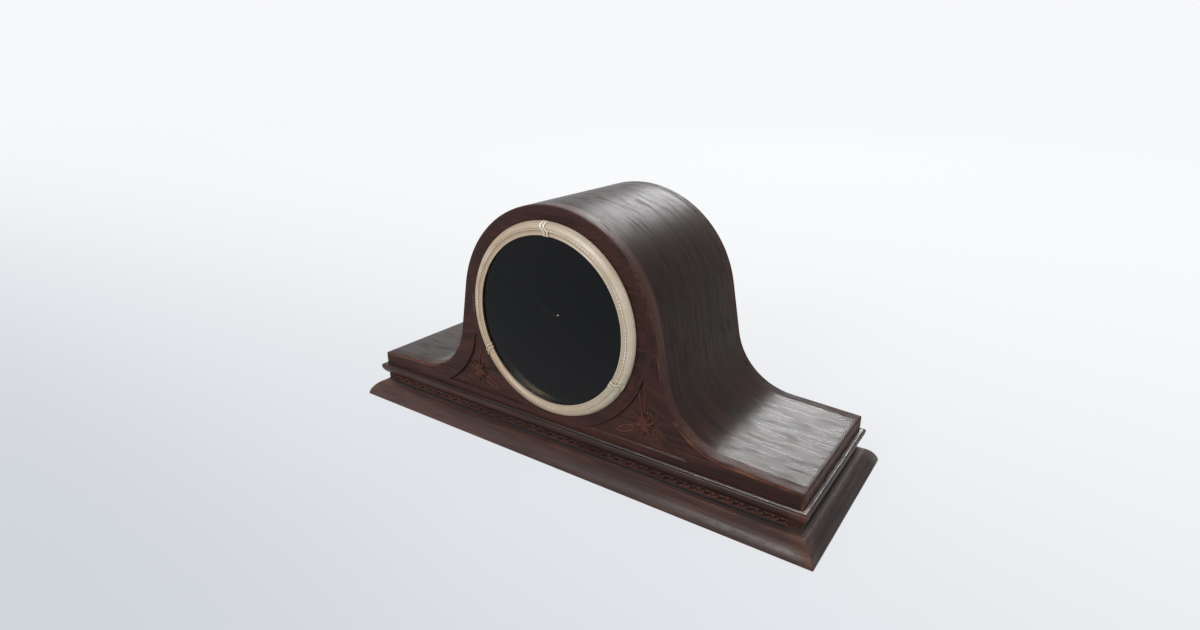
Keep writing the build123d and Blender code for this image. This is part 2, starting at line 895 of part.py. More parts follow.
with BuildPart() as glass_retainer:
    retainer = ring_face(glass_radius + glass_play, sight_radius)
    retainer_back = -glass_front + glass_thickness
    slab(retainer, centre_place, retainer_back, retainer_back + retainer_thickness)
glass_retainer.part.label = "glass_retainer"

with BuildPart() as bezel_hinge_leaf:
    post(hinge_x, hinge_y, bezel_hinge_radius, *tab_z)
    block(tab_x, tab_y, tab_z)
    post(hinge_x, hinge_y, bezel_pin_radius + running_clearance, *tab_z, Mode.SUBTRACT)
bezel_hinge_leaf.part.label = "bezel_hinge_leaf"

with BuildPart() as bezel_hinge_studs:
    for span in knuckle_spans:
        post(hinge_x, hinge_y, bezel_hinge_radius, *span)
        block(tang_x, (hinge_y, front_face + bezel_tang_depth), span)
        post(hinge_x, hinge_y, bezel_pin_radius, *span, Mode.SUBTRACT)
bezel_hinge_studs.part.label = "bezel_hinge_studs"

with BuildPart() as bezel_hinge_pin:
    post(hinge_x, hinge_y, bezel_pin_radius, knuckle_spans[0][0], knuckle_spans[1][1])
bezel_hinge_pin.part.label = "bezel_hinge_pin"


# Hands
def hand_face(length, spade_width, turn, bore):
    """Spade hand that points at a clock angle."""
    spade = spade_share * length
    half_spade = spade_length / 2
    waist = (hand_root_width + hand_tip_width) / 2
    right = [
        (hand_root_width / 2, -hand_tail),
        (hand_root_width / 2, 0),
        (waist / 2, spade - half_spade),
        (spade_width / 2, spade - half_spade / 3),
        (hand_tip_width, spade + half_spade),
        (hand_tip_width / 2, length),
    ]
    left = [(-x, y) for x, y in reversed(right)]
    with BuildSketch() as face:
        with BuildLine():
            Polyline(*right, *left, close=True)
        make_face()
        Circle(hand_hub_radius)
        Circle(bore, mode=Mode.SUBTRACT)
    return Rot(0, 0, -turn) * face.sketch_local


hour_pipe = cannon_pipe + running_clearance + hour_pipe_wall
hour_front = hour_hand_depth - hand_thickness
minute_front = minute_hand_depth - hand_thickness

with BuildPart() as hour_hand:
    hour_shape = hand_face(hour_hand_length, hour_spade_width, hour_at_rest, hour_pipe)
    slab(hour_shape, centre_place, hour_front, hour_hand_depth)
hour_hand.part.label = "hour_hand"

with BuildPart() as minute_hand:
    minute_shape = hand_face(minute_hand_length, minute_spade_width, minute_at_rest, cannon_neck)
    slab(minute_shape, centre_place, minute_front, minute_hand_depth)
minute_hand.part.label = "minute_hand"

with BuildPart() as hand_nut:
    nut_front = minute_front - hand_nut_height
    rod(centre_place, hand_nut_radius, nut_front, minute_front)
    rod(centre_place, cannon_neck, nut_front, minute_front, Mode.SUBTRACT)
hand_nut.part.label = "hand_nut"

# Motion work in front of the plates
cannon_module = 2 * motion_distance / (cannon_leaves + minute_teeth)
hour_module = 2 * motion_distance / (minute_leaves + hour_teeth)
stud_place = polar(motion_turn, motion_distance)
cannon_back = front_plate_depth - cannon_lift
cannon_front = cannon_back - cannon_length
hour_back = front_plate_depth - hour_lift
hour_wheel_front = hour_back - wheel_thickness
minute_middle = (cannon_back + cannon_front) / 2
minute_back = minute_middle + wheel_thickness / 2
pinion_middle = (hour_back + hour_wheel_front) / 2
pinion_front = pinion_middle - minute_pinion_length / 2

with BuildPart() as cannon_pinion:
    slab(toothed_face(cannon_leaves, cannon_module, motion_turn), centre_place, cannon_front, cannon_back)
    rod(centre_place, cannon_pipe, minute_hand_depth, cannon_back)
    rod(centre_place, cannon_neck, nut_front, minute_hand_depth)
    rod(centre_place, arbor_radius + running_clearance, minute_hand_depth, cannon_back, Mode.SUBTRACT)
cannon_pinion.part.label = "cannon_pinion"

with BuildPart() as minute_wheel:
    minute_phase = motion_turn + 180 + 180 / minute_teeth
    minute_teeth_face = toothed_face(minute_teeth, cannon_module, minute_phase)
    minute_root = cannon_module * (minute_teeth / 2 - dedendum_share)
    leaf_face = toothed_face(minute_leaves, hour_module, motion_turn + 180)
    slab(minute_teeth_face, stud_place, minute_back - wheel_thickness, minute_back)
    minute_windows = crossing_face(minute_root - rim_width, hub_radius + rim_width)
    slab(minute_windows, stud_place, minute_back - wheel_thickness, minute_back, Mode.SUBTRACT)
    slab(leaf_face, stud_place, pinion_front, minute_back - wheel_thickness)
    rod(stud_place, stud_radius + running_clearance, pinion_front, minute_back, Mode.SUBTRACT)
minute_wheel.part.label = "minute_wheel"

with BuildPart() as hour_wheel:
    hour_face = toothed_face(hour_teeth, hour_module, motion_turn + 180 / hour_teeth)
    slab(hour_face, centre_place, hour_wheel_front, hour_back)
    hour_root = hour_module * (hour_teeth / 2 - dedendum_share)
    hour_windows = crossing_face(hour_root - rim_width, hub_radius + rim_width)
    slab(hour_windows, centre_place, hour_wheel_front, hour_back, Mode.SUBTRACT)
    rod(centre_place, hour_pipe, hour_front, hour_back)
    rod(centre_place, cannon_pipe + running_clearance, hour_front, hour_back, Mode.SUBTRACT)
hour_wheel.part.label = "hour_wheel"


# Plates, pillars and the posts that carry the movement
def plate_face():
    """Outline of a movement plate without its holes, about the dial centre."""
    with BuildSketch() as face:
        with Locations((0, (plate_low + plate_high) / 2)):
            RectangleRounded(2 * plate_half, plate_high - plate_low, plate_corner)
    return face.sketch_local


def plate_holes(near, far):
    """Pivot, barrel, centre and pillar holes through a plate."""
    for place in wheel_places:
        rod(place, pivot_radius + running_clearance, near, far, Mode.SUBTRACT)
    rod(barrel_place, winding_pivot + running_clearance, near, far, Mode.SUBTRACT)
    for place in pillar_places:
        rod(place, pillar_tail_radius, near, far, Mode.SUBTRACT)


click_pin_turn = click_turn + math.degrees(click_length / (ratchet_radius + click_nose_gap + click_width))
click_pin_place = shifted(barrel_place, click_pin_turn, ratchet_radius + click_nose_gap + click_width)
click_nose_place = shifted(barrel_place, click_turn, ratchet_radius + click_nose_gap + click_width / 2)
ratchet_back = front_plate_depth - ratchet_lift
ratchet_front = ratchet_back - ratchet_thickness

with BuildPart() as front_plate:
    slab(plate_face(), centre_place, front_plate_depth, plate_inner)
    for place in ear_places:
        arm_start = (math.copysign(plate_half - plate_corner, place[0]), place[1])
        arm_middle = ((arm_start[0] + place[0]) / 2, place[1])
        with BuildSketch() as arm:
            SlotCenterToCenter(abs(place[0] - arm_start[0]), 2 * ear_radius)
        slab(arm.sketch_local, arm_middle, front_plate_depth, plate_inner)
    for place in ear_places:
        rod(place, mount_screw_radius + screw_clearance, front_plate_depth, plate_inner, Mode.SUBTRACT)
    plate_holes(front_plate_depth, plate_inner)
    rod(centre_place, arbor_radius + running_clearance, front_plate_depth, plate_inner, Mode.SUBTRACT)
    rod(stud_place, stud_radius, pinion_front, front_plate_depth)
    rod(click_pin_place, click_pin_radius, ratchet_front, front_plate_depth)
    rod(click_pin_place, click_head_radius, ratchet_front - click_head_height, ratchet_front)
front_plate.part.label = "front_plate"

with BuildPart() as back_plate:
    slab(plate_face(), centre_place, back_plate_depth, back_plate_rear)
    plate_holes(back_plate_depth, back_plate_rear)
    rod(centre_place, pivot_radius + running_clearance, back_plate_depth, back_plate_rear, Mode.SUBTRACT)
    for side in (-1, 1):
        screw_place = (side * cock_screw_spread, anchor_place[1] + cock_clear + cock_foot_height / 2)
        rod(screw_place, cock_screw_radius, back_plate_depth, back_plate_rear, Mode.SUBTRACT)
back_plate.part.label = "back_plate"

with BuildPart() as pillars:
    for place in pillar_places:
        rod(place, pillar_radius, plate_inner, back_plate_depth)
        rod(place, pillar_tail_radius, front_plate_depth, back_plate_rear + pillar_tail)
pillars.part.label = "pillars"

with BuildPart() as pillar_nuts:
    with BuildSketch() as nut_shape:
        RegularPolygon(pillar_nut_radius, 6)
        Circle(pillar_tail_radius, mode=Mode.SUBTRACT)
    for place in pillar_places:
        slab(nut_shape.sketch_local, place, back_plate_rear, back_plate_rear + pillar_nut_height)
pillar_nuts.part.label = "pillar_nuts"

with BuildPart() as mounting_posts:
    post_ring = ring_face(post_radius, mount_screw_radius + screw_clearance)
    for place in ear_places:
        slab(post_ring, place, front_thickness, front_plate_depth)
mounting_posts.part.label = "mounting_posts"

with BuildPart() as mounting_screws:
    for place in ear_places:
        rod(place, mount_screw_radius, front_thickness - mount_screw_bite, plate_inner)
        rod(place, mount_screw_head, plate_inner, plate_inner + mount_screw_head_height)
mounting_screws.part.label = "mounting_screws"

# Barrel, mainspring and winding work
great_near = plate_inner + great_level - great_thickness / 2
great_far = great_near + great_thickness
drum_far = great_far + drum_length
great_phase = bearing(barrel_place, second_place) + 180 / great_teeth

with BuildPart() as barrel:
    slab(toothed_face(great_teeth, great_module, great_phase), barrel_place, great_near, great_far)
    rod(barrel_place, drum_radius, great_far, drum_far)
    rod(barrel_place, drum_radius - drum_wall, great_far, drum_far, Mode.SUBTRACT)
    rod(barrel_place, winding_radius + running_clearance, great_near, great_far, Mode.SUBTRACT)
barrel.part.label = "barrel"

with BuildPart() as barrel_cap:
    cap = ring_face(drum_radius, winding_radius + running_clearance)
    slab(cap, barrel_place, drum_far, drum_far + cap_thickness)
barrel_cap.part.label = "barrel_cap"


def spring_face():
    """Flat spiral of half turns that grow by half a pitch each."""
    half = spring_thickness / 2
    with BuildSketch() as face:
        for turn in range(spring_half_turns):
            middle = spring_start + turn * spring_pitch / 2
            shift = (spring_pitch / 4) * (1 if turn % 2 else -1)
            start = 180 if turn % 2 else 0
            with BuildLine(mode=Mode.PRIVATE) as leaf:
                outer = CenterArc((shift, 0), middle + half, start, 180)
                inner = CenterArc((shift, 0), middle - half, start, 180)
                Line(outer @ 0, inner @ 0)
                Line(outer @ 1, inner @ 1)
            make_face(leaf.edges())
    return face.sketch_local


with BuildPart() as mainspring:
    slab(spring_face(), barrel_place, great_far + spring_margin, drum_far - spring_margin)
mainspring.part.label = "mainspring"

with BuildPart() as winding_arbor:
    rod(barrel_place, winding_radius, great_near - end_shake, drum_far + cap_thickness + end_shake)
    rod(barrel_place, winding_hub, great_far + spring_margin, drum_far - spring_margin)
    rod(barrel_place, winding_pivot, ratchet_front, back_plate_rear)
    with BuildSketch() as square:
        Rectangle(winding_square, winding_square)
    slab(square.sketch_local, barrel_place, winding_end_depth, ratchet_front)
winding_arbor.part.label = "winding_arbor"

with BuildPart() as ratchet_wheel:
    ratchet_face = pointed_face(ratchet_teeth, ratchet_radius, ratchet_tooth, 0.1, 0)
    slab(ratchet_face, barrel_place, ratchet_front, ratchet_back)
    rod(barrel_place, winding_pivot, ratchet_front, ratchet_back, Mode.SUBTRACT)
ratchet_wheel.part.label = "ratchet_wheel"

with BuildPart() as click:
    with BuildSketch() as click_shape:
        with BuildLine():
            Polyline(
                shifted(click_pin_place, click_turn, click_width),
                shifted(click_nose_place, click_turn, click_width / 2),
                shifted(click_nose_place, click_turn + 180, click_width / 2),
                shifted(click_pin_place, click_turn + 180, click_width / 2),
                close=True,
            )
        make_face()
        with Locations(click_pin_place):
            Circle(click_width)
            Circle(click_pin_radius + running_clearance, mode=Mode.SUBTRACT)
        with Locations(barrel_place):
            Circle(ratchet_radius + click_nose_gap, mode=Mode.SUBTRACT)
    slab(click_shape.sketch_local, centre_place, ratchet_front, ratchet_back)
click.part.label = "click"

# Going train
second_phase = bearing(second_place, centre_place) + 180 / second_teeth
centre_phase = bearing(centre_place, third_place) + 180 / centre_teeth
third_phase = bearing(third_place, escape_place) + 180 / third_teeth

with BuildPart() as second_wheel:
    pivoted_arbor(second_place)
    lantern(second_place, second_leaves, great_module, bearing(second_place, barrel_place), great_level)
    spoked_wheel(second_place, second_teeth, second_module, second_phase, second_level, hub_radius)
second_wheel.part.label = "second_wheel"

with BuildPart() as centre_arbor:
    rod(centre_place, arbor_radius, minute_hand_depth + end_shake, back_plate_depth - end_shake)
    rod(centre_place, pivot_radius, back_plate_depth - end_shake, back_plate_rear)
    lantern(centre_place, centre_leaves, second_module, bearing(centre_place, second_place), second_level)
centre_arbor.part.label = "centre_arbor"

with BuildPart() as centre_wheel:
    spoked_wheel(centre_place, centre_teeth, centre_module, centre_phase, centre_level, hub_radius)
    bore_near = plate_inner + centre_level - wheel_thickness
    rod(centre_place, arbor_radius, bore_near, bore_near + 2 * wheel_thickness, Mode.SUBTRACT)
centre_wheel.part.label = "centre_wheel"

with BuildPart() as third_wheel:
    pivoted_arbor(third_place)
    lantern(third_place, third_leaves, centre_module, bearing(third_place, centre_place), centre_level)
    spoked_wheel(third_place, third_teeth, third_module, third_phase, third_level, hub_radius)
third_wheel.part.label = "third_wheel"

with BuildPart() as escape_wheel:
    pivoted_arbor(escape_place)
    lantern(escape_place, escape_leaves, third_module, bearing(escape_place, third_place), third_level)
    escape_near = plate_inner + escape_level - escape_thickness / 2
    escape_far = escape_near + escape_thickness
    escape_phase = 90 + anchor_half_angle + 90 / escape_teeth
    escape_face = pointed_face(escape_teeth, escape_radius, escape_tooth, escape_lean_share, escape_phase)
    slab(escape_face, escape_place, escape_near, escape_far)
    escape_windows = crossing_face(escape_radius - escape_tooth - escape_rim, escape_hub)
    slab(escape_windows, escape_place, escape_near, escape_far, Mode.SUBTRACT)
escape_wheel.part.label = "escape_wheel"

# Anchor, crutch and pendulum
anchor_near = plate_inner + escape_level - anchor_thickness / 2
anchor_far = anchor_near + anchor_thickness
crutch_near = back_plate_rear + crutch_depth_gap
crutch_far = crutch_near + crutch_thickness
pendulum_depth = back_plate_rear + pendulum_depth_gap
pendulum_y = front_face + pendulum_depth

with BuildPart() as anchor:
    rod(anchor_place, arbor_radius, plate_inner + end_shake, back_plate_depth - end_shake)
    rod(anchor_place, pivot_radius, front_plate_depth, crutch_far)
    rod(anchor_place, anchor_hub, anchor_near, anchor_far)
    for side in (-1, 1):
        heading = 90 + side * anchor_half_angle
        pallet_middle = shifted(escape_place, heading, escape_radius + pallet_gap + pallet_length / 2)
        elbow = shifted(escape_place, heading, escape_radius + pallet_gap + pallet_length - anchor_arm / 2)
        arm_turn = bearing(anchor_place, elbow)
        arm_middle = ((anchor_place[0] + elbow[0]) / 2, (anchor_place[1] + elbow[1]) / 2)
        arm_length = math.dist(anchor_place, elbow)
        with BuildSketch() as pallet:
            Rectangle(pallet_length, pallet_width, rotation=heading)
        slab(pallet.sketch_local, pallet_middle, anchor_near, anchor_far)
        with BuildSketch() as arm:
            SlotCenterToCenter(arm_length, anchor_arm, rotation=arm_turn)
        slab(arm.sketch_local, arm_middle, anchor_near, anchor_far)
anchor.part.label = "anchor"

with BuildPart() as crutch:
    rod(anchor_place, crutch_hub, crutch_near, crutch_far)
    with BuildSketch() as strip:
        Rectangle(crutch_width, crutch_length, align=(Align.CENTER, Align.MAX))
    slab(strip.sketch_local, anchor_place, crutch_near, crutch_far)
    rod(anchor_place, pivot_radius, crutch_near, crutch_far, Mode.SUBTRACT)
    fork_half = rod_radius + prong_play + prong_radius
    fork_drop = anchor_place[1] - crutch_length
    with BuildSketch() as yoke:
        SlotCenterToCenter(2 * fork_half, crutch_width)
    slab(yoke.sketch_local, (0, fork_drop), crutch_near, crutch_far)
    for side in (-1, 1):
        rod((side * fork_half, fork_drop), prong_radius, crutch_far, pendulum_depth + 2 * rod_radius)
crutch.part.label = "crutch"

chop_low = hang_z - spring_strip_length - chop_height
bob_z = hang_z - pendulum_length
half_strip = spring_strip_width / 2
half_leaf = spring_strip_thickness / 2

with BuildPart() as suspension_spring:
    strip_z = (hang_z - spring_strip_length - chop_height, hang_z)
    block((-half_leaf, half_leaf), (pendulum_y - half_strip, pendulum_y + half_strip), strip_z)
    with Locations((0, pendulum_y, hang_z)):
        Cylinder(hang_pin_radius, hang_pin_length, rotation=(90, 0, 0))
suspension_spring.part.label = "suspension_spring"

with BuildPart() as pendulum_rod:
    chop_x = (-chop_width / 2, chop_width / 2)
    chop_y = (pendulum_y - half_strip, pendulum_y + half_strip)
    block(chop_x, chop_y, (chop_low, chop_low + chop_height))
    block((-half_leaf, half_leaf), chop_y, (chop_low, chop_low + chop_height), Mode.SUBTRACT)
    post(0, pendulum_y, rod_radius, bob_z - bob_radius - nut_height - rod_tail, chop_low)
pendulum_rod.part.label = "pendulum_rod"

with BuildPart() as pendulum_bob:
    with BuildSketch(Plane(origin=(0, pendulum_y, bob_z), x_dir=(1, 0, 0), z_dir=(0, 0, -1))):
        with BuildLine():
            half_bob = bob_thickness / 2
            half_edge = bob_edge / 2
            Line((0, -half_bob), (0, half_bob))
            bowed((0, half_bob), (bob_radius, half_edge), -half_edge)
            Line((bob_radius, half_edge), (bob_radius, -half_edge))
            bowed((bob_radius, -half_edge), (0, -half_bob), -half_edge)
        make_face()
    revolve(axis=Axis((0, 0, bob_z), (0, 1, 0)))
    post(0, pendulum_y, rod_radius, bob_z - 2 * bob_radius, bob_z + 2 * bob_radius, Mode.SUBTRACT)
pendulum_bob.part.label = "pendulum_bob"

with BuildPart() as rating_nut:
    nut_top = bob_z - bob_radius - nut_gap
    post(0, pendulum_y, nut_radius, nut_top - nut_height, nut_top)
    post(0, pendulum_y, rod_radius + running_clearance, nut_top - nut_height, nut_top, Mode.SUBTRACT)
rating_nut.part.label = "rating_nut"

with BuildPart() as suspension_cock:
    plate_y = front_face + back_plate_rear
    arm_low = hang_z + cock_clear
    half_cock = cock_width / 2
    ear_far = pendulum_y + cock_gap / 2 + cock_ear
    foot_z = (arm_low, arm_low + cock_foot_height)
    block((-cock_foot_width / 2, cock_foot_width / 2), (plate_y, plate_y + cock_foot_thickness), foot_z)
    block((-half_cock, half_cock), (plate_y, ear_far), (arm_low, arm_low + cock_arm))
    for side in (-1, 1):
        near_face = pendulum_y + side * cock_gap / 2
        ear_span = tuple(sorted((near_face, near_face + side * cock_ear)))
        block((-half_cock, half_cock), ear_span, (hang_z - cock_drop, arm_low))
    with Locations((0, pendulum_y, hang_z)):
        pin_hole = hang_pin_radius + running_clearance
        Cylinder(pin_hole, 2 * hang_pin_length, rotation=(90, 0, 0), mode=Mode.SUBTRACT)
    cock_screw_z = arm_low + cock_foot_height / 2 - dial_centre
    for side in (-1, 1):
        screw_place = (side * cock_screw_spread, cock_screw_z)
        screw_span = (back_plate_rear, back_plate_rear + cock_foot_thickness)
        rod(screw_place, cock_screw_radius + screw_clearance, *screw_span, Mode.SUBTRACT)
suspension_cock.part.label = "suspension_cock"

with BuildPart() as cock_screws:
    for side in (-1, 1):
        screw_place = (side * cock_screw_spread, cock_screw_z)
        head_near = back_plate_rear + cock_foot_thickness
        rod(screw_place, cock_screw_radius, back_plate_depth, head_near)
        rod(screw_place, cock_screw_head, head_near, head_near + cock_screw_head_height)
cock_screws.part.label = "cock_screws"

# Back door, hinges, knob and turn button
door_x = door_half
door_pin_y = back_face + door_hinge_lift + door_hinge_radius
door_hinge_middles = [dial_centre - drop for drop in door_hinge_drops]
leaf_y = (back_face, back_face + door_leaf_thickness)

with BuildPart() as back_door:
    with BuildSketch(standing(body_depth)):
        add(door_face(door_half - door_gap, door_sill + door_gap))
    extrude(amount=back_thickness - door_lip_thickness)
back_door.part.label = "back_door"


def hinge_spans(middle):
    """Lower, middle and upper knuckle of a door hinge."""
    third = door_hinge_length / 3
    low = middle - door_hinge_length / 2
    return [
        (low, low + third - knuckle_gap),
        (low + third, low + 2 * third),
        (low + 2 * third + knuckle_gap, low + door_hinge_length),
    ]


with BuildPart() as frame_hinges:
    for middle in door_hinge_middles:
        lower, between, upper = hinge_spans(middle)
        leaf_start = door_x + door_hinge_radius / 2
        block((leaf_start, door_x + door_leaf_width), leaf_y, (lower[0], upper[1]))
        for span in (lower, upper):
            post(door_x, door_pin_y, door_hinge_radius, *span)
            block((door_x, leaf_start + door_hinge_radius), (back_face, door_pin_y), span)
            post(door_x, door_pin_y, door_pin_radius, *span, Mode.SUBTRACT)
        clear_span = (between[0] - knuckle_gap, between[1] + knuckle_gap)
        post(door_x, door_pin_y, door_hinge_radius + door_hinge_lift, *clear_span, Mode.SUBTRACT)
frame_hinges.part.label = "frame_hinges"

with BuildPart() as door_hinges:
    for middle in door_hinge_middles:
        lower, between, upper = hinge_spans(middle)
        leaf_end = door_x - door_hinge_radius / 2
        block((door_x - door_leaf_width, leaf_end), leaf_y, (lower[0], upper[1]))
        for span in (lower, upper):
            clear_span = (span[0] - knuckle_gap, span[1] + knuckle_gap)
            post(door_x, door_pin_y, door_hinge_radius + door_hinge_lift, *clear_span, Mode.SUBTRACT)
        post(door_x, door_pin_y, door_hinge_radius, *between)
        block((leaf_end - door_hinge_radius, door_x), (back_face, door_pin_y), between)
        post(door_x, door_pin_y, door_pin_radius + running_clearance, *between, Mode.SUBTRACT)
door_hinges.part.label = "door_hinges"

with BuildPart() as door_hinge_pins:
    for middle in door_hinge_middles:
        lower, between, upper = hinge_spans(middle)
        post(door_x, door_pin_y, door_pin_radius, lower[0], upper[1])
door_hinge_pins.part.label = "door_hinge_pins"

with BuildPart() as door_knob:
    knob_x = -(door_half - knob_inset)
    knob_place = (knob_x, button_z - dial_centre)
    rod(knob_place, knob_neck, body_depth, body_depth + knob_neck_length)
    rod(knob_place, knob_radius, body_depth + knob_neck_length, body_depth + knob_height)
    fillet(door_knob.faces().sort_by(Axis.Y)[-1].edges(), radius=knob_neck)
door_knob.part.label = "door_knob"

with BuildPart() as turn_button:
    with BuildSketch(Plane(origin=(button_x, button_y, button_z), x_dir=(1, 0, 0), z_dir=(0, 1, 0))):
        SlotOverall(button_length, button_width, rotation=90)
        Circle(button_screw_radius + running_clearance, mode=Mode.SUBTRACT)
    extrude(amount=button_thickness)
turn_button.part.label = "turn_button"

with BuildPart() as button_screw:
    button_depth = body_depth + button_lift + button_thickness + button_lift
    button_place = (button_x, button_z - dial_centre)
    rod(button_place, button_screw_radius, body_depth - button_screw_bite, button_depth)
    rod(button_place, button_screw_head, button_depth, button_depth + button_screw_head_height)
button_screw.part.label = "button_screw"

# Files, one for each piece
pieces = [
    plinth, frieze_board, frieze_carving, bead_moulding, case_screws, front_panel, case_skin, end_blocks,
    back_panel, left_carving, right_carving, dial_pan, pan_screws, dial_plate, hour_marks,
    bezel_ring, bezel_bands, glass, glass_retainer, bezel_hinge_leaf, bezel_hinge_studs, bezel_hinge_pin,
    hour_hand, minute_hand, hand_nut, cannon_pinion, minute_wheel, hour_wheel, front_plate, back_plate,
    pillars, pillar_nuts, mounting_posts, mounting_screws, barrel, barrel_cap, mainspring, winding_arbor,
    ratchet_wheel, click, second_wheel, centre_arbor, centre_wheel, third_wheel, escape_wheel, anchor,
    crutch, suspension_spring, pendulum_rod, pendulum_bob, rating_nut, suspension_cock, cock_screws,
    back_door, frame_hinges, door_hinges, door_hinge_pins, door_knob, turn_button,
    button_screw,
]
for piece in pieces:
    export_step(piece.part, f"parts/{piece.part.label}.step")
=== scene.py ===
"""Dresses the hump-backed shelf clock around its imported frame: wood, gilt bezel, dark glass and works."""

import json
import logging
import math
from collections.abc import Callable, Sequence
from dataclasses import dataclass, field, replace
from enum import Enum

import bmesh
import bpy
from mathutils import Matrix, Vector
from mathutils.geometry import delaunay_2d_cdt


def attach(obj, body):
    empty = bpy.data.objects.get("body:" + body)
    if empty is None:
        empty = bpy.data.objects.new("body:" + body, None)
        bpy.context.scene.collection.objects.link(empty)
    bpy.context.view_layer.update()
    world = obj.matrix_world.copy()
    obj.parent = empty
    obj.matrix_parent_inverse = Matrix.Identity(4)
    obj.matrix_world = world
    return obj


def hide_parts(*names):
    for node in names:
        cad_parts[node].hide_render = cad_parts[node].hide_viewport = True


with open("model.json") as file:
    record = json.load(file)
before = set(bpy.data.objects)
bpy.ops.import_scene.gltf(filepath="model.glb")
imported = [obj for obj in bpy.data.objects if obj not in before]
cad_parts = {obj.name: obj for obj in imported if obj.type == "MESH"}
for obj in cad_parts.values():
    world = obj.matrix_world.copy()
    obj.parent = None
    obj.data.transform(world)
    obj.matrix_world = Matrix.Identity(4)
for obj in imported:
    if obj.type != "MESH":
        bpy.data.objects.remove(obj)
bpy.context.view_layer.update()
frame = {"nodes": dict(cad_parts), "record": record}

log = logging.getLogger("shelf_clock")

MM = 0.001
WELD = 2e-6
DIAL_Z = 134.1
FRONT_Y = -74.0
SINK = 0.05

Flat = tuple[float, float]
Spot = tuple[float, float, float]
Tint = tuple[float, float, float, float]

BACKDROP: Tint = (0.932, 0.94, 0.9545, 1)


class Slot(str, Enum):
    """Material slots of the record."""

    WOOD = "case_wood"
    CARVED = "carved_wood"
    BEZEL = "bezel_metal"
    GLASS = "dial_glass"
    BLACK = "dial_black"
    MARKS = "mark_metal"
    HANDS = "hand_steel"
    FITTINGS = "fitting_brass"
    PLATES = "plate_brass"
    STEEL = "movement_steel"


class Body(str, Enum):
    """Bodies of the frame that new pieces ride on."""

    CASE = "case"
    BEZEL = "bezel"


def mix_flat(a: Flat, b: Flat, share: float) -> Flat:
    """Point between two points."""
    return (a[0] + (b[0] - a[0]) * share, a[1] + (b[1] - a[1]) * share)


def bowed(start: Flat, end: Flat, bulge: float, steps: int) -> list[Flat]:
    """Arc between two points.

    Args:
        start: First point.
        end: Last point.
        bulge: Height of the arc, to the right of the way from start to end.
        steps: Number of spans.

    Returns:
        The points of the arc, both ends among them.
    """
    run = (end[0] - start[0], end[1] - start[1])
    chord = math.hypot(*run)
    if abs(bulge) < 1e-6:
        return [mix_flat(start, end, i / steps) for i in range(steps + 1)]
    half_turn = 2 * math.atan(2 * bulge / chord)
    radius = chord / (2 * math.sin(half_turn))
    points = []
    for i in range(steps + 1):
        turn = half_turn * (2 * i / steps - 1)
        along = 0.5 + radius * math.sin(turn) / chord
        aside = radius * (math.cos(turn) - math.cos(half_turn)) / chord
        points.append((start[0] + run[0] * along + run[1] * aside, start[1] + run[1] * along - run[0] * aside))
    return points


def inside(point: Flat, loop: Sequence[Flat]) -> bool:
    """Whether a point lies inside a closed loop."""
    hit = False
    for (ax, az), (bx, bz) in zip(loop, [*loop[1:], loop[0]]):
        if (az > point[1]) != (bz > point[1]) and point[0] < ax + (bx - ax) * (point[1] - az) / (bz - az):
            hit = not hit
    return hit


def inward(loop: Sequence[Flat], distance: float, longest: float = 3.5) -> list[Flat]:
    """Loop drawn in by a distance.

    Args:
        loop: Points in anticlockwise order.
        distance: How far each side moves in; below zero it moves out.
        longest: Largest step of a corner, in distances.

    Returns:
        One moved point for each point of the loop.
    """
    moved = []
    for i, here in enumerate(loop):
        before, after = loop[i - 1], loop[(i + 1) % len(loop)]
        normals = []
        for a, b in ((before, here), (here, after)):
            length = math.hypot(b[0] - a[0], b[1] - a[1]) or 1.0
            normals.append((-(b[1] - a[1]) / length, (b[0] - a[0]) / length))
        middle = (normals[0][0] + normals[1][0], normals[0][1] + normals[1][1])
        size = max(middle[0] ** 2 + middle[1] ** 2, 1e-9)
        step = min(2 / size, longest / math.sqrt(size)) * distance
        moved.append((here[0] + middle[0] * step, here[1] + middle[1] * step))
    return moved


def circle(radius: float, count: int, centre: Flat = (0.0, DIAL_Z)) -> list[Flat]:
    """Points of a circle in anticlockwise order."""
    turns = [math.tau * i / count for i in range(count)]
    return [(centre[0] + radius * math.cos(t), centre[1] + radius * math.sin(t)) for t in turns]


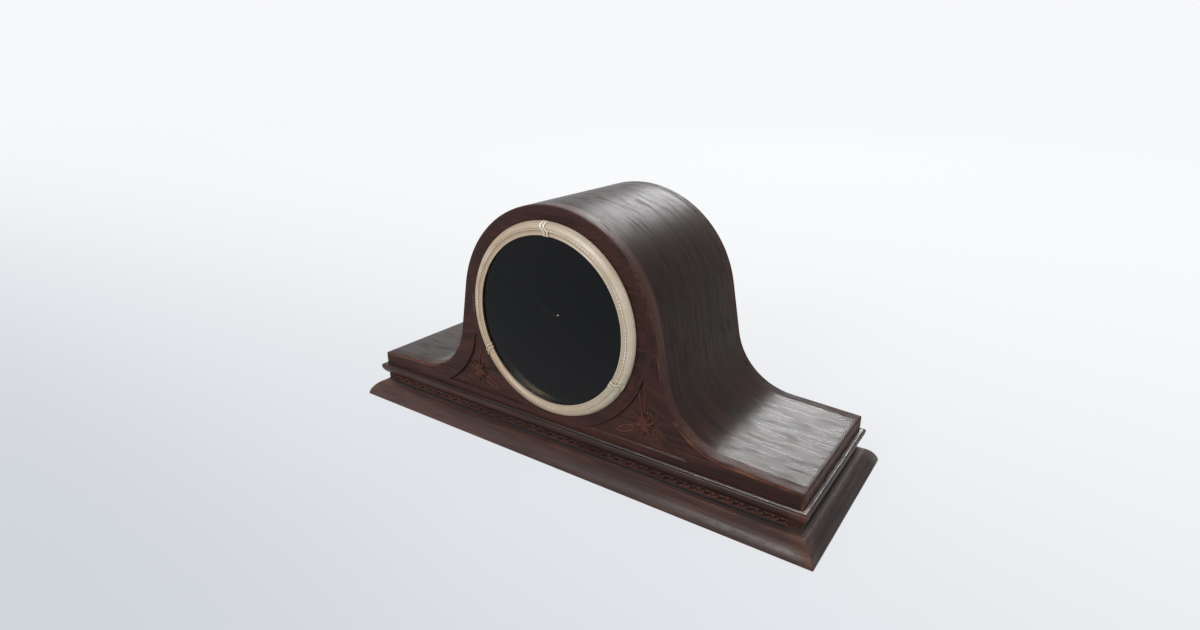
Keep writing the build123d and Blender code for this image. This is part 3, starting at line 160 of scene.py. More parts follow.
@dataclass
class Shell:
    """Points and faces of one piece, in millimetres, with the grain and a mark at each point for rubbing, grime,
    painted shade and painted highlights.
    """

    spots: list[Spot] = field(default_factory=list)
    grain: list[Spot] = field(default_factory=list)
    wear: list[float] = field(default_factory=list)
    faces: list[tuple[int, ...]] = field(default_factory=list)

    def point(self, at: Spot, grain: Spot | None = None, wear: float = 0.0) -> int:
        """Add a point and return its number."""
        self.spots.append(at)
        self.grain.append(at if grain is None else grain)
        self.wear.append(wear)
        return len(self.spots) - 1

    def web(self, rows: Sequence[Sequence[int]], ring: bool = False, loop: bool = False) -> None:
        """Fill the quads between rows of points.

        Args:
            rows: Rows of point numbers, all of one length.
            ring: Whether each row closes on itself.
            loop: Whether the last row joins the first.
        """
        pairs = list(zip(rows, rows[1:]))
        if loop:
            pairs.append((rows[-1], rows[0]))
        for low, high in pairs:
            count = len(low)
            for i in range(count if ring else count - 1):
                j = (i + 1) % count
                self.faces.append((low[i], low[j], high[j], high[i]))

    def cap(self, row: Sequence[int]) -> None:
        """Close a row of points with a fan from its middle."""
        size = len(row)
        middle = tuple(sum(self.spots[i][k] for i in row) / size for k in range(3))
        grain = tuple(sum(self.grain[i][k] for i in row) / size for k in range(3))
        hub = self.point(middle, grain, sum(self.wear[i] for i in row) / size)
        for i, spot in enumerate(row):
            self.faces.append((spot, row[(i + 1) % size], hub))

    def flat(
        self,
        outer: Sequence[Flat],
        holes: Sequence[Sequence[Flat]],
        spot: Callable[[Flat], tuple[Spot, Spot, float]],
        spacing: float = 0.0,
    ) -> None:
        """Fill a flat region that may have holes.

        Args:
            outer: Outer loop.
            holes: Loops left open.
            spot: Gives the place, grain and mark (rubbing, grime, painted shade and painted highlights) of a flat
                point.
            spacing: Distance of extra points inside the region; none at zero.
        """
        loops = [list(outer), *[list(hole) for hole in holes]]
        points = [p for loop in loops for p in loop]
        edges, start = [], 0
        for loop in loops:
            edges += [(start + i, start + (i + 1) % len(loop)) for i in range(len(loop))]
            start += len(loop)
        if spacing:
            points += self.lattice(loops, spacing)
        found = delaunay_2d_cdt([Vector(p) for p in points], edges, [], 0, 1e-5)
        numbers = [self.point(*spot((v.x, v.y))) for v in found[0]]
        for face in found[2]:
            middle = tuple(sum(found[0][i][k] for i in face) / len(face) for k in range(2))
            if inside(middle, outer) and not any(inside(middle, hole) for hole in holes):
                self.faces.append(tuple(numbers[i] for i in face))

    @staticmethod
    def lattice(loops: Sequence[Sequence[Flat]], spacing: float) -> list[Flat]:
        """Extra points in a region, clear of its edges.

        Args:
            loops: Outer loop and holes.
            spacing: Distance between points.

        Returns:
            The points that lie inside.
        """
        xs, zs = [p[0] for p in loops[0]], [p[1] for p in loops[0]]
        edge = {(round(p[0] / spacing), round(p[1] / spacing)) for loop in loops for p in loop}
        kept = []
        for i in range(int((max(xs) - min(xs)) / spacing)):
            for k in range(int((max(zs) - min(zs)) / spacing)):
                p = (min(xs) + (i + 0.5) * spacing, min(zs) + (k + 0.5) * spacing)
                if (round(p[0] / spacing), round(p[1] / spacing)) in edge or not inside(p, loops[0]):
                    continue
                if not any(inside(p, hole) for hole in loops[1:]):
                    kept.append(p)
        return kept

    @staticmethod
    def rim(rows: Sequence[Sequence[int]]) -> list[int]:
        """Point numbers round the edge of an open grid, in order."""
        ends = [row[-1] for row in rows[1:]]
        starts = [row[0] for row in reversed(rows[1:-1])]
        return [*rows[0], *ends, *reversed(rows[-1][:-1]), *starts]

    def build(self, name: str, sharp: float = 38.0) -> bpy.types.Object:
        """Make the object.

        Args:
            name: Name of the piece.
            sharp: Angle between faces, in degrees, above which an edge stays crisp.

        Returns:
            The new object, linked to the scene.
        """
        mesh = bpy.data.meshes.new(name)
        mesh.from_pydata([(x * MM, y * MM, z * MM) for x, y, z in self.spots], [], self.faces)
        corners = [0] * len(mesh.loops)
        mesh.loops.foreach_get("vertex_index", corners)
        grain = mesh.attributes.new("grain", "FLOAT_VECTOR", "CORNER")
        grain.data.foreach_set("vector", [value * MM for c in corners for value in self.grain[c]])
        wear = mesh.attributes.new("wear", "FLOAT", "CORNER")
        wear.data.foreach_set("value", [self.wear[c] for c in corners])
        work = bmesh.new()
        work.from_mesh(mesh)
        bmesh.ops.remove_doubles(work, verts=work.verts, dist=WELD)
        bmesh.ops.dissolve_degenerate(work, edges=work.edges, dist=WELD)
        loose = [v for v in work.verts if not v.link_faces]
        bmesh.ops.delete(work, geom=loose, context="VERTS")
        bmesh.ops.recalc_face_normals(work, faces=work.faces)
        work.to_mesh(mesh)
        work.free()
        mesh.polygons.foreach_set("use_smooth", [True] * len(mesh.polygons))
        mesh.set_sharp_from_angle(angle=math.radians(sharp))
        piece = bpy.data.objects.new(name, mesh)
        bpy.context.scene.collection.objects.link(piece)
        return piece


def dress(piece: bpy.types.Object, finish: bpy.types.Material, body: Body, slot: Slot, *nodes: str) -> None:
    """Give a piece its finish and its body, and hide the frame nodes that it stands for.

    Args:
        piece: The new object.
        finish: Its material.
        body: Body that it moves with.
        slot: Not used.
        nodes: Frame nodes that it replaces.
    """
    piece.data.materials.append(finish)
    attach(piece, body.value)
    if nodes:
        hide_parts(*nodes)
    log.info("%s: %d faces, rides on %s", piece.name, len(piece.data.polygons), body.value)


class Bench:
    """Adds and joins shader nodes in one tree."""

    def __init__(self, tree: bpy.types.NodeTree) -> None:
        """Start on a tree."""
        self.tree = tree

    def add(self, kind: str, options: dict | None = None, **inputs: object) -> bpy.types.Node:
        """Add a node.

        Args:
            kind: Type of node.
            options: Properties to set on it.
            inputs: Values or sockets by input name, with _ for a space, or in0, in1 by number.

        Returns:
            The new node.
        """
        node = self.tree.nodes.new(kind)
        for name, value in (options or {}).items():
            setattr(node, name, value)
        for name, value in inputs.items():
            key = int(name[2:]) if name.startswith("in") and name[2:].isdigit() else name.replace("_", " ")
            self.feed(node.inputs[key], value)
        return node

    def feed(self, socket: bpy.types.NodeSocket, value: object) -> None:
        """Link a socket to another, or set its value."""
        if isinstance(value, bpy.types.NodeSocket):
            self.tree.links.new(value, socket)
        else:
            socket.default_value = value

    def math(self, operation: str, a: object, b: object = 0.0, clamp: bool = False) -> bpy.types.NodeSocket:
        """Math on two values."""
        return self.add("ShaderNodeMath", {"operation": operation, "use_clamp": clamp}, in0=a, in1=b).outputs[0]

    def noise(
        self, vector: object, scale: Spot, detail: float = 4.0, rough: float = 0.6, twist: float = 0.0
    ) -> bpy.types.NodeSocket:
        """Noise over a stretched coordinate.

        Args:
            vector: Coordinate socket, in metres.
            scale: Repeats per metre along each axis.
            detail: Octaves.
            rough: Weight of the finer octaves.
            twist: Distortion.

        Returns:
            The noise value.
        """
        spread = self.add("ShaderNodeVectorMath", {"operation": "MULTIPLY"}, in0=vector, in1=scale).outputs[0]
        node = self.add("ShaderNodeTexNoise", None, Vector=spread, Scale=1.0, Detail=detail,
                        Roughness=rough, Distortion=twist)
        return node.outputs[0]

    def span(
        self, value: object, low: float, high: float, to_low: object = 0.0, to_high: object = 1.0
    ) -> bpy.types.NodeSocket:
        """Map a value from one range to another, held at its ends."""
        node = self.add("ShaderNodeMapRange", {"clamp": True}, in0=value, in1=low, in2=high, in3=to_low, in4=to_high)
        return node.outputs[0]

    def dot(self, vector: object, weights: Spot) -> bpy.types.NodeSocket:
        """Sum of a vector's parts, each times its weight."""
        node = self.add("ShaderNodeVectorMath", {"operation": "DOT_PRODUCT"}, in0=vector, in1=weights)
        return node.outputs["Value"]

    def blend(self, share: object, a: object, b: object, mode: str = "MIX") -> bpy.types.NodeSocket:
        """Mix of two colours."""
        node = self.add("ShaderNodeMix", {"data_type": "RGBA", "blend_type": mode}, in0=share, in6=a, in7=b)
        return node.outputs[2]


class Effects:
    """Node groups that several finishes share, each made once."""

    def __init__(self) -> None:
        """Make the groups."""
        self.wood = self.wood_figure()
        self.worn = self.edge_wear()
        self.tarnish = self.metal_tarnish()

    @staticmethod
    def start(
        name: str, inputs: dict[str, str], outputs: dict[str, str]
    ) -> tuple[bpy.types.NodeTree, Bench, bpy.types.Node, bpy.types.Node]:
        """Begin a group.

        Args:
            name: Name of the group.
            inputs: Socket types by input name.
            outputs: Socket types by output name.

        Returns:
            The tree, a bench on it, and its input and output nodes.
        """
        tree = bpy.data.node_groups.new(name, "ShaderNodeTree")
        for label, kind in inputs.items():
            tree.interface.new_socket(label, in_out="INPUT", socket_type=kind)
        for label, kind in outputs.items():
            tree.interface.new_socket(label, in_out="OUTPUT", socket_type=kind)
        bench = Bench(tree)
        return tree, bench, tree.nodes.new("NodeGroupInput"), tree.nodes.new("NodeGroupOutput")

    def wood_figure(self) -> bpy.types.NodeTree:
        """Streaks, fine grain, pores and uneven polish along a grain coordinate."""
        tree, bench, source, out = self.start(
            "wood_figure",
            {"Along": "NodeSocketVector", "Dark": "NodeSocketColor", "Middle": "NodeSocketColor",
             "Light": "NodeSocketColor", "Gloss": "NodeSocketFloat", "Dull": "NodeSocketFloat"},
            {"Color": "NodeSocketColor", "Roughness": "NodeSocketFloat", "Height": "NodeSocketFloat"},
        )
        along = source.outputs["Along"]
        broad = bench.noise(along, (5.0, 42.0, 42.0), 5.0, 0.62, 0.9)
        streak = bench.noise(along, (9.0, 260.0, 260.0), 4.0, 0.65, 0.3)
        fine = bench.noise(along, (60.0, 1500.0, 1500.0), 3.0, 0.6)
        pore = bench.noise(along, (130.0, 3200.0, 3200.0), 2.0, 0.5)
        blotch = bench.noise(along, (14.0, 420.0, 420.0), 4.0, 0.66, 0.1)
        light = bench.blend(bench.span(broad, 0.36, 0.64), source.outputs["Dark"], source.outputs["Middle"])
        light = bench.blend(bench.span(streak, 0.5, 0.78), light, source.outputs["Light"])
        dark = bench.math("MULTIPLY", bench.span(streak, 0.5, 0.28), 0.62)
        tone = bench.blend(dark, light, source.outputs["Dark"])
        tone = bench.blend(bench.span(fine, 0.32, 0.68, 0.0, 0.5), tone, source.outputs["Dark"], "MULTIPLY")
        pores = bench.span(pore, 0.62, 0.7)
        tone = bench.blend(bench.math("MULTIPLY", pores, 0.55), tone, (0.004, 0.003, 0.003, 1.0))
        polish = bench.span(blotch, 0.36, 0.66)
        rough = bench.add("ShaderNodeMapRange", None, in0=polish, in3=source.outputs["Gloss"],
                          in4=source.outputs["Dull"]).outputs[0]
        rough = bench.math("ADD", rough, bench.span(streak, 0.3, 0.7, 0.02, -0.02))
        rough = bench.math("ADD", rough, bench.span(fine, 0.3, 0.7, -0.03, 0.04))
        stain = bench.noise(along, (34.0, 130.0, 130.0), 3.0, 0.6, 0.2)
        rough = bench.math("ADD", rough, bench.span(stain, 0.5, 0.68, 0.0, 0.14))
        height = bench.math("SUBTRACT", bench.math("MULTIPLY", fine, 0.6), pores)
        height = bench.math("ADD", height, bench.math("MULTIPLY", blotch, 0.22))
        bench.feed(out.inputs["Color"], tone)
        bench.feed(out.inputs["Roughness"], rough)
        bench.feed(out.inputs["Height"], height)
        return tree

    def edge_wear(self) -> bpy.types.NodeTree:
        """Lighter where the mask is above zero, for rubbed edges and painted highlights; darker where it is below, for
        grime and painted shade in hollows.
        """
        tree, bench, source, out = self.start(
            "edge_wear",
            {"Along": "NodeSocketVector", "Color": "NodeSocketColor", "Worn": "NodeSocketColor",
             "Grime": "NodeSocketColor", "Mask": "NodeSocketFloat"},
            {"Color": "NodeSocketColor", "Dulled": "NodeSocketFloat"},
        )
        patch = bench.noise(source.outputs["Along"], (14.0, 70.0, 70.0), 5.0, 0.68)
        worn = bench.math("MULTIPLY", source.outputs["Mask"], bench.span(patch, 0.42, 0.64, 0.05, 1.0), True)
        grime = bench.math("MULTIPLY", source.outputs["Mask"], -0.85, True)
        tone = bench.blend(worn, source.outputs["Color"], source.outputs["Worn"])
        bench.feed(out.inputs["Color"], bench.blend(grime, tone, source.outputs["Grime"]))
        bench.feed(out.inputs["Dulled"], bench.math("MULTIPLY", bench.math("ABSOLUTE", source.outputs["Mask"]), 0.36, True))
        return tree

    def metal_tarnish(self) -> bpy.types.NodeTree:
        """Cloudy tarnish, specks and fine scratches on metal."""
        tree, bench, source, out = self.start(
            "metal_tarnish",
            {"Along": "NodeSocketVector", "Metal": "NodeSocketColor", "Tarnish": "NodeSocketColor",
             "Amount": "NodeSocketFloat", "Gloss": "NodeSocketFloat", "Dull": "NodeSocketFloat"},
            {"Color": "NodeSocketColor", "Roughness": "NodeSocketFloat", "Height": "NodeSocketFloat"},
        )
        along = source.outputs["Along"]
        cloud = bench.noise(along, (90.0, 90.0, 90.0), 6.0, 0.66, 0.8)
        speck = bench.noise(along, (900.0, 900.0, 900.0), 3.0, 0.6)
        scratch = bench.noise(along, (350.0, 2600.0, 2600.0), 2.0, 0.5, 0.4)
        share = bench.math("MULTIPLY", bench.span(cloud, 0.38, 0.68), source.outputs["Amount"], True)
        tone = bench.blend(share, source.outputs["Metal"], source.outputs["Tarnish"])
        spots = bench.math("MULTIPLY", bench.span(speck, 0.6, 0.72), source.outputs["Amount"], True)
        tone = bench.blend(bench.math("MULTIPLY", spots, 0.6), tone, source.outputs["Tarnish"], "MULTIPLY")
        rough = bench.add("ShaderNodeMapRange", None, in0=cloud, in1=0.35, in2=0.68, in3=source.outputs["Gloss"],
                          in4=source.outputs["Dull"]).outputs[0]
        rough = bench.math("ADD", rough, bench.span(scratch, 0.35, 0.65, -0.03, 0.04))
        height = bench.math("ADD", bench.math("MULTIPLY", cloud, 1.2), bench.math("MULTIPLY", scratch, 0.5))
        bench.feed(out.inputs["Color"], tone)
        bench.feed(out.inputs["Roughness"], rough)
        bench.feed(out.inputs["Height"], height)
        return tree


def blank_material(name: str) -> tuple[bpy.types.Material, Bench, bpy.types.Node]:
    """New material.

    Args:
        name: Name of the material.

    Returns:
        The material, a bench on its tree and its shader.
    """
    material = bpy.data.materials.new(name)
    material.use_nodes = True
    bench = Bench(material.node_tree)
    return material, bench, material.node_tree.nodes["Principled BSDF"]


@dataclass(frozen=True)
class WoodFinish:
    """Stained and polished wood."""

    name: str
    dark: Tint
    middle: Tint
    light: Tint
    # The worn colour serves rubbing and painted highlights; the grime colour serves grime and painted shade.
    worn: Tint
    gloss: float = 0.3
    dull: float = 0.5
    bump: float = 0.00012
    grime: Tint = (0.005, 0.0035, 0.003, 1)
    specular: float = 0.1
    drawn: bool = True

    def make(self, effects: Effects) -> bpy.types.Material:
        """Build the material.

        Args:
            effects: Shared node groups.

        Returns:
            The material.
        """
        material, bench, shader = blank_material(self.name)
        if self.drawn:
            along = bench.add("ShaderNodeAttribute", {"attribute_name": "grain"}).outputs["Vector"]
            mask = bench.add("ShaderNodeAttribute", {"attribute_name": "wear"}).outputs["Fac"]
        else:
            along = bench.add("ShaderNodeTexCoord").outputs["Object"]
            mask = 0.12
        figure = bench.add("ShaderNodeGroup", {"node_tree": effects.wood}, Along=along, Dark=self.dark,
                           Middle=self.middle, Light=self.light, Gloss=self.gloss, Dull=self.dull)
        worn = bench.add("ShaderNodeGroup", {"node_tree": effects.worn}, Along=along,
                         Color=figure.outputs["Color"], Worn=self.worn, Grime=self.grime, Mask=mask)
        bump = bench.add("ShaderNodeBump", None, Strength=0.6, Distance=self.bump, Height=figure.outputs["Height"])
        bench.feed(shader.inputs["Base Color"], worn.outputs["Color"])
        bench.feed(shader.inputs["Roughness"], bench.math("ADD", figure.outputs["Roughness"], worn.outputs["Dulled"]))
        bench.feed(shader.inputs["Normal"], bump.outputs["Normal"])
        shader.inputs["Specular IOR Level"].default_value = self.specular
        return material


@dataclass(frozen=True)
class MetalFinish:
    """Metal with tarnish and small scratches."""

    name: str
    metal: Tint
    tarnish: Tint
    amount: float = 0.4
    gloss: float = 0.25
    dull: float = 0.42
    metallic: float = 1.0
    bump: float = 0.00006

    def make(self, effects: Effects) -> bpy.types.Material:
        """Build the material.

        Args:
            effects: Shared node groups.

        Returns:
            The material.
        """
        material, bench, shader = blank_material(self.name)
        along = bench.add("ShaderNodeTexCoord").outputs["Object"]
        skin = bench.add("ShaderNodeGroup", {"node_tree": effects.tarnish}, Along=along, Metal=self.metal,
                         Tarnish=self.tarnish, Amount=self.amount, Gloss=self.gloss, Dull=self.dull)
        bump = bench.add("ShaderNodeBump", None, Strength=0.5, Distance=self.bump, Height=skin.outputs["Height"])
        bench.feed(shader.inputs["Base Color"], skin.outputs["Color"])
        bench.feed(shader.inputs["Roughness"], skin.outputs["Roughness"])
        bench.feed(shader.inputs["Normal"], bump.outputs["Normal"])
        shader.inputs["Metallic"].default_value = self.metallic
        return material


@dataclass(frozen=True)
class GiltFinish:
    """Pale worn gilding: brown in the hollows, grime with painted shade; bright on the crests, rubbing with painted
    highlights; a few green spots; painted shade on the inner wall.
    """

    name: str = "pale_gilt"
    gold: Tint = (0.346, 0.296, 0.22, 1)
    pink: Tint = (0.353, 0.258, 0.182, 1)
    bright: Tint = (0.7, 0.665, 0.59, 1)
    brown: Tint = (0.15, 0.092, 0.052, 1)
    green: Tint = (0.21, 0.25, 0.165, 1)
    warm: Tint = (1.0, 0.84, 0.7, 1)
    shade: Tint = (0.02, 0.014, 0.01, 1)
    metallic: float = 0.12

    def make(self, effects: Effects) -> bpy.types.Material:
        """Build the material.

        Args:
            effects: Shared node groups.

        Returns:
            The material.
        """
        material, bench, shader = blank_material(self.name)
        along = bench.add("ShaderNodeTexCoord").outputs["Object"]
        skin = bench.add("ShaderNodeGroup", {"node_tree": effects.tarnish}, Along=along, Metal=self.gold,
                         Tarnish=self.pink, Amount=0.8, Gloss=0.28, Dull=0.44)
        mask = bench.add("ShaderNodeAttribute", {"attribute_name": "wear"}).outputs["Fac"]
        worn = bench.add("ShaderNodeGroup", {"node_tree": effects.worn}, Along=along, Color=skin.outputs["Color"],
                         Worn=self.bright, Grime=self.brown, Mask=mask)
        patina_and_wall_shade = bench.add("ShaderNodeAttribute", {"attribute_name": "grain"}).outputs["Vector"]
        share = bench.dot(patina_and_wall_shade, (1000.0, 0.0, 0.0))
        spots = bench.span(bench.noise(along, (420.0, 420.0, 420.0), 4.0, 0.65), 0.5, 0.6)
        side = bench.add("ShaderNodeSeparateXYZ", None, in0=along).outputs[0]
        warm = bench.blend(bench.span(side, 0.05, -0.09, 0.0, 0.6), worn.outputs["Color"], self.warm, "MULTIPLY")
        tone = bench.blend(bench.math("MULTIPLY", share, spots, True), warm, self.green)
        # Painted shade on the ring's inner wall.
        depth = bench.dot(patina_and_wall_shade, (0.0, 1000.0, 0.0))
        tone = bench.blend(depth, tone, self.shade)
        bump = bench.add("ShaderNodeBump", None, Strength=0.5, Distance=0.00008, Height=skin.outputs["Height"])
        bench.feed(shader.inputs["Base Color"], tone)
        bench.feed(shader.inputs["Roughness"], bench.math("ADD", skin.outputs["Roughness"], worn.outputs["Dulled"]))
        bench.feed(shader.inputs["Normal"], bump.outputs["Normal"])
        shader.inputs["Metallic"].default_value = self.metallic
        return material


@dataclass(frozen=True)
class GlassFinish:
    """Dark smoked glass with faint smears."""

    name: str = "smoked_glass"
    clean: Tint = (0.035, 0.038, 0.045, 1.0)
    hazy: Tint = (0.05, 0.058, 0.072, 1.0)
    index: float = 1.29

    def make(self, effects: Effects) -> bpy.types.Material:
        """Build the material.

        Args:
            effects: Shared node groups.

        Returns:
            The material.
        """
        material, bench, shader = blank_material(self.name)
        along = bench.add("ShaderNodeTexCoord").outputs["Object"]
        skin = bench.add("ShaderNodeGroup", {"node_tree": effects.tarnish}, Along=along, Metal=self.clean,
                         Tarnish=self.hazy, Amount=0.5, Gloss=0.03, Dull=0.08)
        bench.feed(shader.inputs["Base Color"], skin.outputs["Color"])
        bench.feed(shader.inputs["Roughness"], skin.outputs["Roughness"])
        shader.inputs["Transmission Weight"].default_value = 1.0
        shader.inputs["IOR"].default_value = self.index
        return material


class Finishes:
    """Every finish on the clock, by slot."""

    def __init__(self) -> None:
        """Make the shared effects and the materials."""
        effects = Effects()
        self.veneer = WoodFinish(
            "dark_veneer", (0.01, 0.004, 0.003, 1), (0.027, 0.0095, 0.0066, 1), (0.041, 0.0152, 0.01, 1),
            (0.11, 0.045, 0.025, 1), 0.25, 0.34, 0.000018, specular=0.09).make(effects)
        self.board = WoodFinish(
            "dark_board", (0.017, 0.0062, 0.0047, 1), (0.047, 0.016, 0.0115, 1), (0.064, 0.0225, 0.015, 1),
            (0.14, 0.058, 0.033, 1), 0.34, 0.48, specular=0.14).make(effects)
        self.base = WoodFinish(
            "base_board", (0.02, 0.0086, 0.0068, 1), (0.061, 0.027, 0.0215, 1), (0.084, 0.038, 0.0275, 1),
            (0.12, 0.05, 0.028, 1), 0.28, 0.38, 0.00006, specular=0.25).make(effects)
        self.bead = WoodFinish(
            "polished_bead", (0.014, 0.0058, 0.0045, 1), (0.038, 0.0145, 0.0105, 1), (0.058, 0.0225, 0.0155, 1),
            (0.125, 0.046, 0.024, 1), 0.29, 0.33, 0.00001, specular=0.22).make(effects)
        self.carved = WoodFinish(
            "carved_wood", (0.046, 0.0165, 0.0125, 1), (0.082, 0.0285, 0.0215, 1), (0.108, 0.039, 0.0285, 1),
            (0.145, 0.068, 0.048, 1), 0.46, 0.6, specular=0.08).make(effects)
        # The frieze colours are lighter than the board's: painted light that offsets the shade under the bead rail.
        frieze = WoodFinish(
            "frieze_wood", (0.024, 0.0095, 0.0075, 1), (0.06, 0.0245, 0.018, 1), (0.085, 0.036, 0.025, 1),
            (0.11, 0.045, 0.03, 1), 0.46, 0.6)
        self.frieze = frieze.make(effects)
        self.frieze_board = replace(frieze, name="frieze_board", drawn=False).make(effects)
        self.plain = WoodFinish(
            "plain_board", (0.014, 0.007, 0.0055, 1), (0.036, 0.016, 0.012, 1), (0.055, 0.026, 0.018, 1),
            (0.08, 0.04, 0.025, 1), 0.42, 0.6, drawn=False).make(effects)
        self.gilt = GiltFinish().make(effects)
        self.bronzed = MetalFinish(
            "bronzed_hinge", (0.05, 0.036, 0.026, 1), (0.03, 0.02, 0.014, 1), 0.5, 0.4, 0.55, 0.6).make(effects)
        glass = GlassFinish().make(effects)
        black = MetalFinish("dial_black", (0.012, 0.012, 0.013, 1), (0.02, 0.018, 0.016, 1), 0.6, 0.42, 0.6, 0.0).make(effects)
        brass = MetalFinish("aged_brass", (0.63, 0.45, 0.2, 1), (0.3, 0.19, 0.08, 1), 0.6, 0.28, 0.46).make(effects)
        plate = MetalFinish("plate_brass", (0.68, 0.5, 0.24, 1), (0.4, 0.27, 0.12, 1), 0.45, 0.24, 0.4).make(effects)
        marks = MetalFinish("mark_brass", (0.5, 0.42, 0.27, 1), (0.25, 0.19, 0.11, 1), 0.5, 0.32, 0.5).make(effects)
        steel = MetalFinish("works_steel", (0.46, 0.46, 0.47, 1), (0.22, 0.2, 0.18, 1), 0.45, 0.26, 0.42).make(effects)
        hands = MetalFinish("hand_steel", (0.16, 0.17, 0.2, 1), (0.08, 0.07, 0.07, 1), 0.5, 0.26, 0.42).make(effects)
        self.by_node: dict[str, bpy.types.Material] = {
            "frieze_board": self.frieze_board,
            **{f"bezel_hinge_{part}": self.bronzed for part in ("leaf", "studs", "pin")},
        }
        self.by_slot: dict[str, bpy.types.Material] = {
            Slot.WOOD.value: self.plain, Slot.CARVED.value: self.plain, Slot.BEZEL.value: self.gilt,
            Slot.GLASS.value: glass, Slot.BLACK.value: black, Slot.MARKS.value: marks, Slot.HANDS.value: hands,
            Slot.FITTINGS.value: brass, Slot.PLATES.value: plate, Slot.STEEL.value: steel,
        }


@dataclass(frozen=True)
class HatOutline:
    """Front outline of the case: foot, wing tip, wing, hollow, flank and hump."""

    half: float = 233.5
    floor: float = 34.6
    hump_radius: float = 104.5
    hump_z: float = 130.5
    lean: float = math.radians(10.8)
    hollow: float = 62.0
    tip_rise: float = 13.2
    fall: float = math.radians(2.9)
    tip_round: float = 1.5

    def wing_z(self, inset: float, x: float) -> float:
        """Height of the wing's top at a distance from the middle."""
        slope = math.tan(self.fall)
        return self.floor + self.tip_rise + (self.half - x) * slope - inset * math.hypot(1, slope)

    def rise(self, inset: float, reach: float) -> list[Flat]:
        """Right half from the wing end up to the crown.

        Args:
            inset: How far the outline is drawn in.
            reach: Where the wing ends, from the middle.

        Returns:
            Points from the wing end to the crown.
        """
        radius = self.hump_radius - inset
        touch = (radius * math.cos(self.lean), self.hump_z + radius * math.sin(self.lean))
        slope, fall = math.tan(self.lean), math.tan(self.fall)
        start = self.wing_z(inset, 0)
        corner_z = (start - fall * (touch[0] + slope * touch[1])) / (1 - fall * slope)
        corner = (touch[0] + slope * (touch[1] - corner_z), corner_z)
        bend = self.hollow + inset
        setback = bend * math.tan((math.pi / 2 - self.lean - self.fall) / 2)
        high = (corner[0] - setback * math.sin(self.lean), corner[1] + setback * math.cos(self.lean))
        centre = (high[0] + bend * math.cos(self.lean), high[1] + bend * math.sin(self.lean))
        low_turn, high_turn = math.pi * 1.5 - self.fall, math.pi + self.lean
        low = (centre[0] + bend * math.cos(low_turn), centre[1] + bend * math.sin(low_turn))
        tip = (reach, self.wing_z(inset, reach))
        points = [mix_flat(tip, low, i / 14) for i in range(14)]
        for i in range(26):
            turn = low_turn + (high_turn - low_turn) * i / 26
            points.append((centre[0] + bend * math.cos(turn), centre[1] + bend * math.sin(turn)))
        points += [mix_flat(high, touch, i / 4) for i in range(4)]
        for i in range(45):
            turn = self.lean + (math.pi / 2 - self.lean) * i / 44
            points.append((radius * math.cos(turn), self.hump_z + radius * math.sin(turn)))
        return points

    def tip(self, inset: float, reach: float) -> list[Flat]:
        """Small round at the wing end, from its side to its top."""
        size = max(self.tip_round - inset, 0.06)
        top = self.wing_z(inset, reach)
        corner = [(reach, top - size), (reach - size, top + size * math.tan(self.fall))]
        return bowed(corner[0], corner[1], 0.29 * size, 4)

    def half_loop(self, inset: float) -> list[Flat]:
        """Right half from the foot to the crown, all sides drawn in."""
        reach = self.half - inset
        return [(reach, self.floor), *self.tip(inset, reach), *self.rise(inset, reach)[1:]]

    @staticmethod
    def both(right: Sequence[Flat]) -> list[Flat]:
        """Right half followed by its mirror image, down the left side."""
        return [*right, *[(-x, z) for x, z in reversed(right[:-1])]]


@dataclass
class CaseSkin:
    """Bent skin over the wings and the hump."""

    outline: HatOutline
    front: float = -62.0
    back: float = 64.0
    thickness: float = 6.0
    spans: int = 8

    def build(self, finishes: Finishes) -> None:
        """Make the skin, with its grain along the bend."""
        hat, shell = self.outline, Shell()
        inner_half = hat.rise(self.thickness, hat.half)
        outer = hat.both([inner_half[0], *hat.tip(0, hat.half), *hat.rise(0, hat.half)[1:]])
        inner = hat.both(inner_half)[1:-1]
        loop = [*outer, *reversed(inner)]
        runs = self.lengths(outer) + list(reversed(self.lengths(inner)))
        count = len(outer)
        rows = []
        for step in range(self.spans + 1):
            y = self.front + (self.back - self.front) * step / self.spans
            rows.append([shell.point((x, y, z), (run, y, 0.0 if i < count else 40.0), self.wear(x, z, i < count))
                         for i, ((x, z), run) in enumerate(zip(loop, runs))])
        shell.web(rows, ring=True)
        for y in (self.front, self.back):
            shell.flat(loop, [], lambda p, y=y: ((p[0], y, p[1]), (p[0], p[1], 80.0), 0.0))
        dress(shell.build("bent_skin"), finishes.veneer, Body.CASE, Slot.WOOD, "case_skin")

    @staticmethod
    def lengths(line: Sequence[Flat]) -> list[float]:
        """Distance of each point along a line."""
        runs = [0.0]
        for a, b in zip(line, line[1:]):
            runs.append(runs[-1] + math.hypot(b[0] - a[0], b[1] - a[1]))
        return runs

    def wear(self, x: float, z: float, outside: bool) -> float:
        """Rubbing at the wing tips and painted shade towards the hump's crown, at a point of the skin."""
        near_tip = max(0.0, 1 - (self.outline.half - abs(x)) / 4)
        # Darker and duller towards the crown: painted shade that tones down the hump's highlight.
        up = min(max((z - 62) / 60, 0.0), 1.0)
        return 0.4 * near_tip - 0.38 * up if outside else 0.0


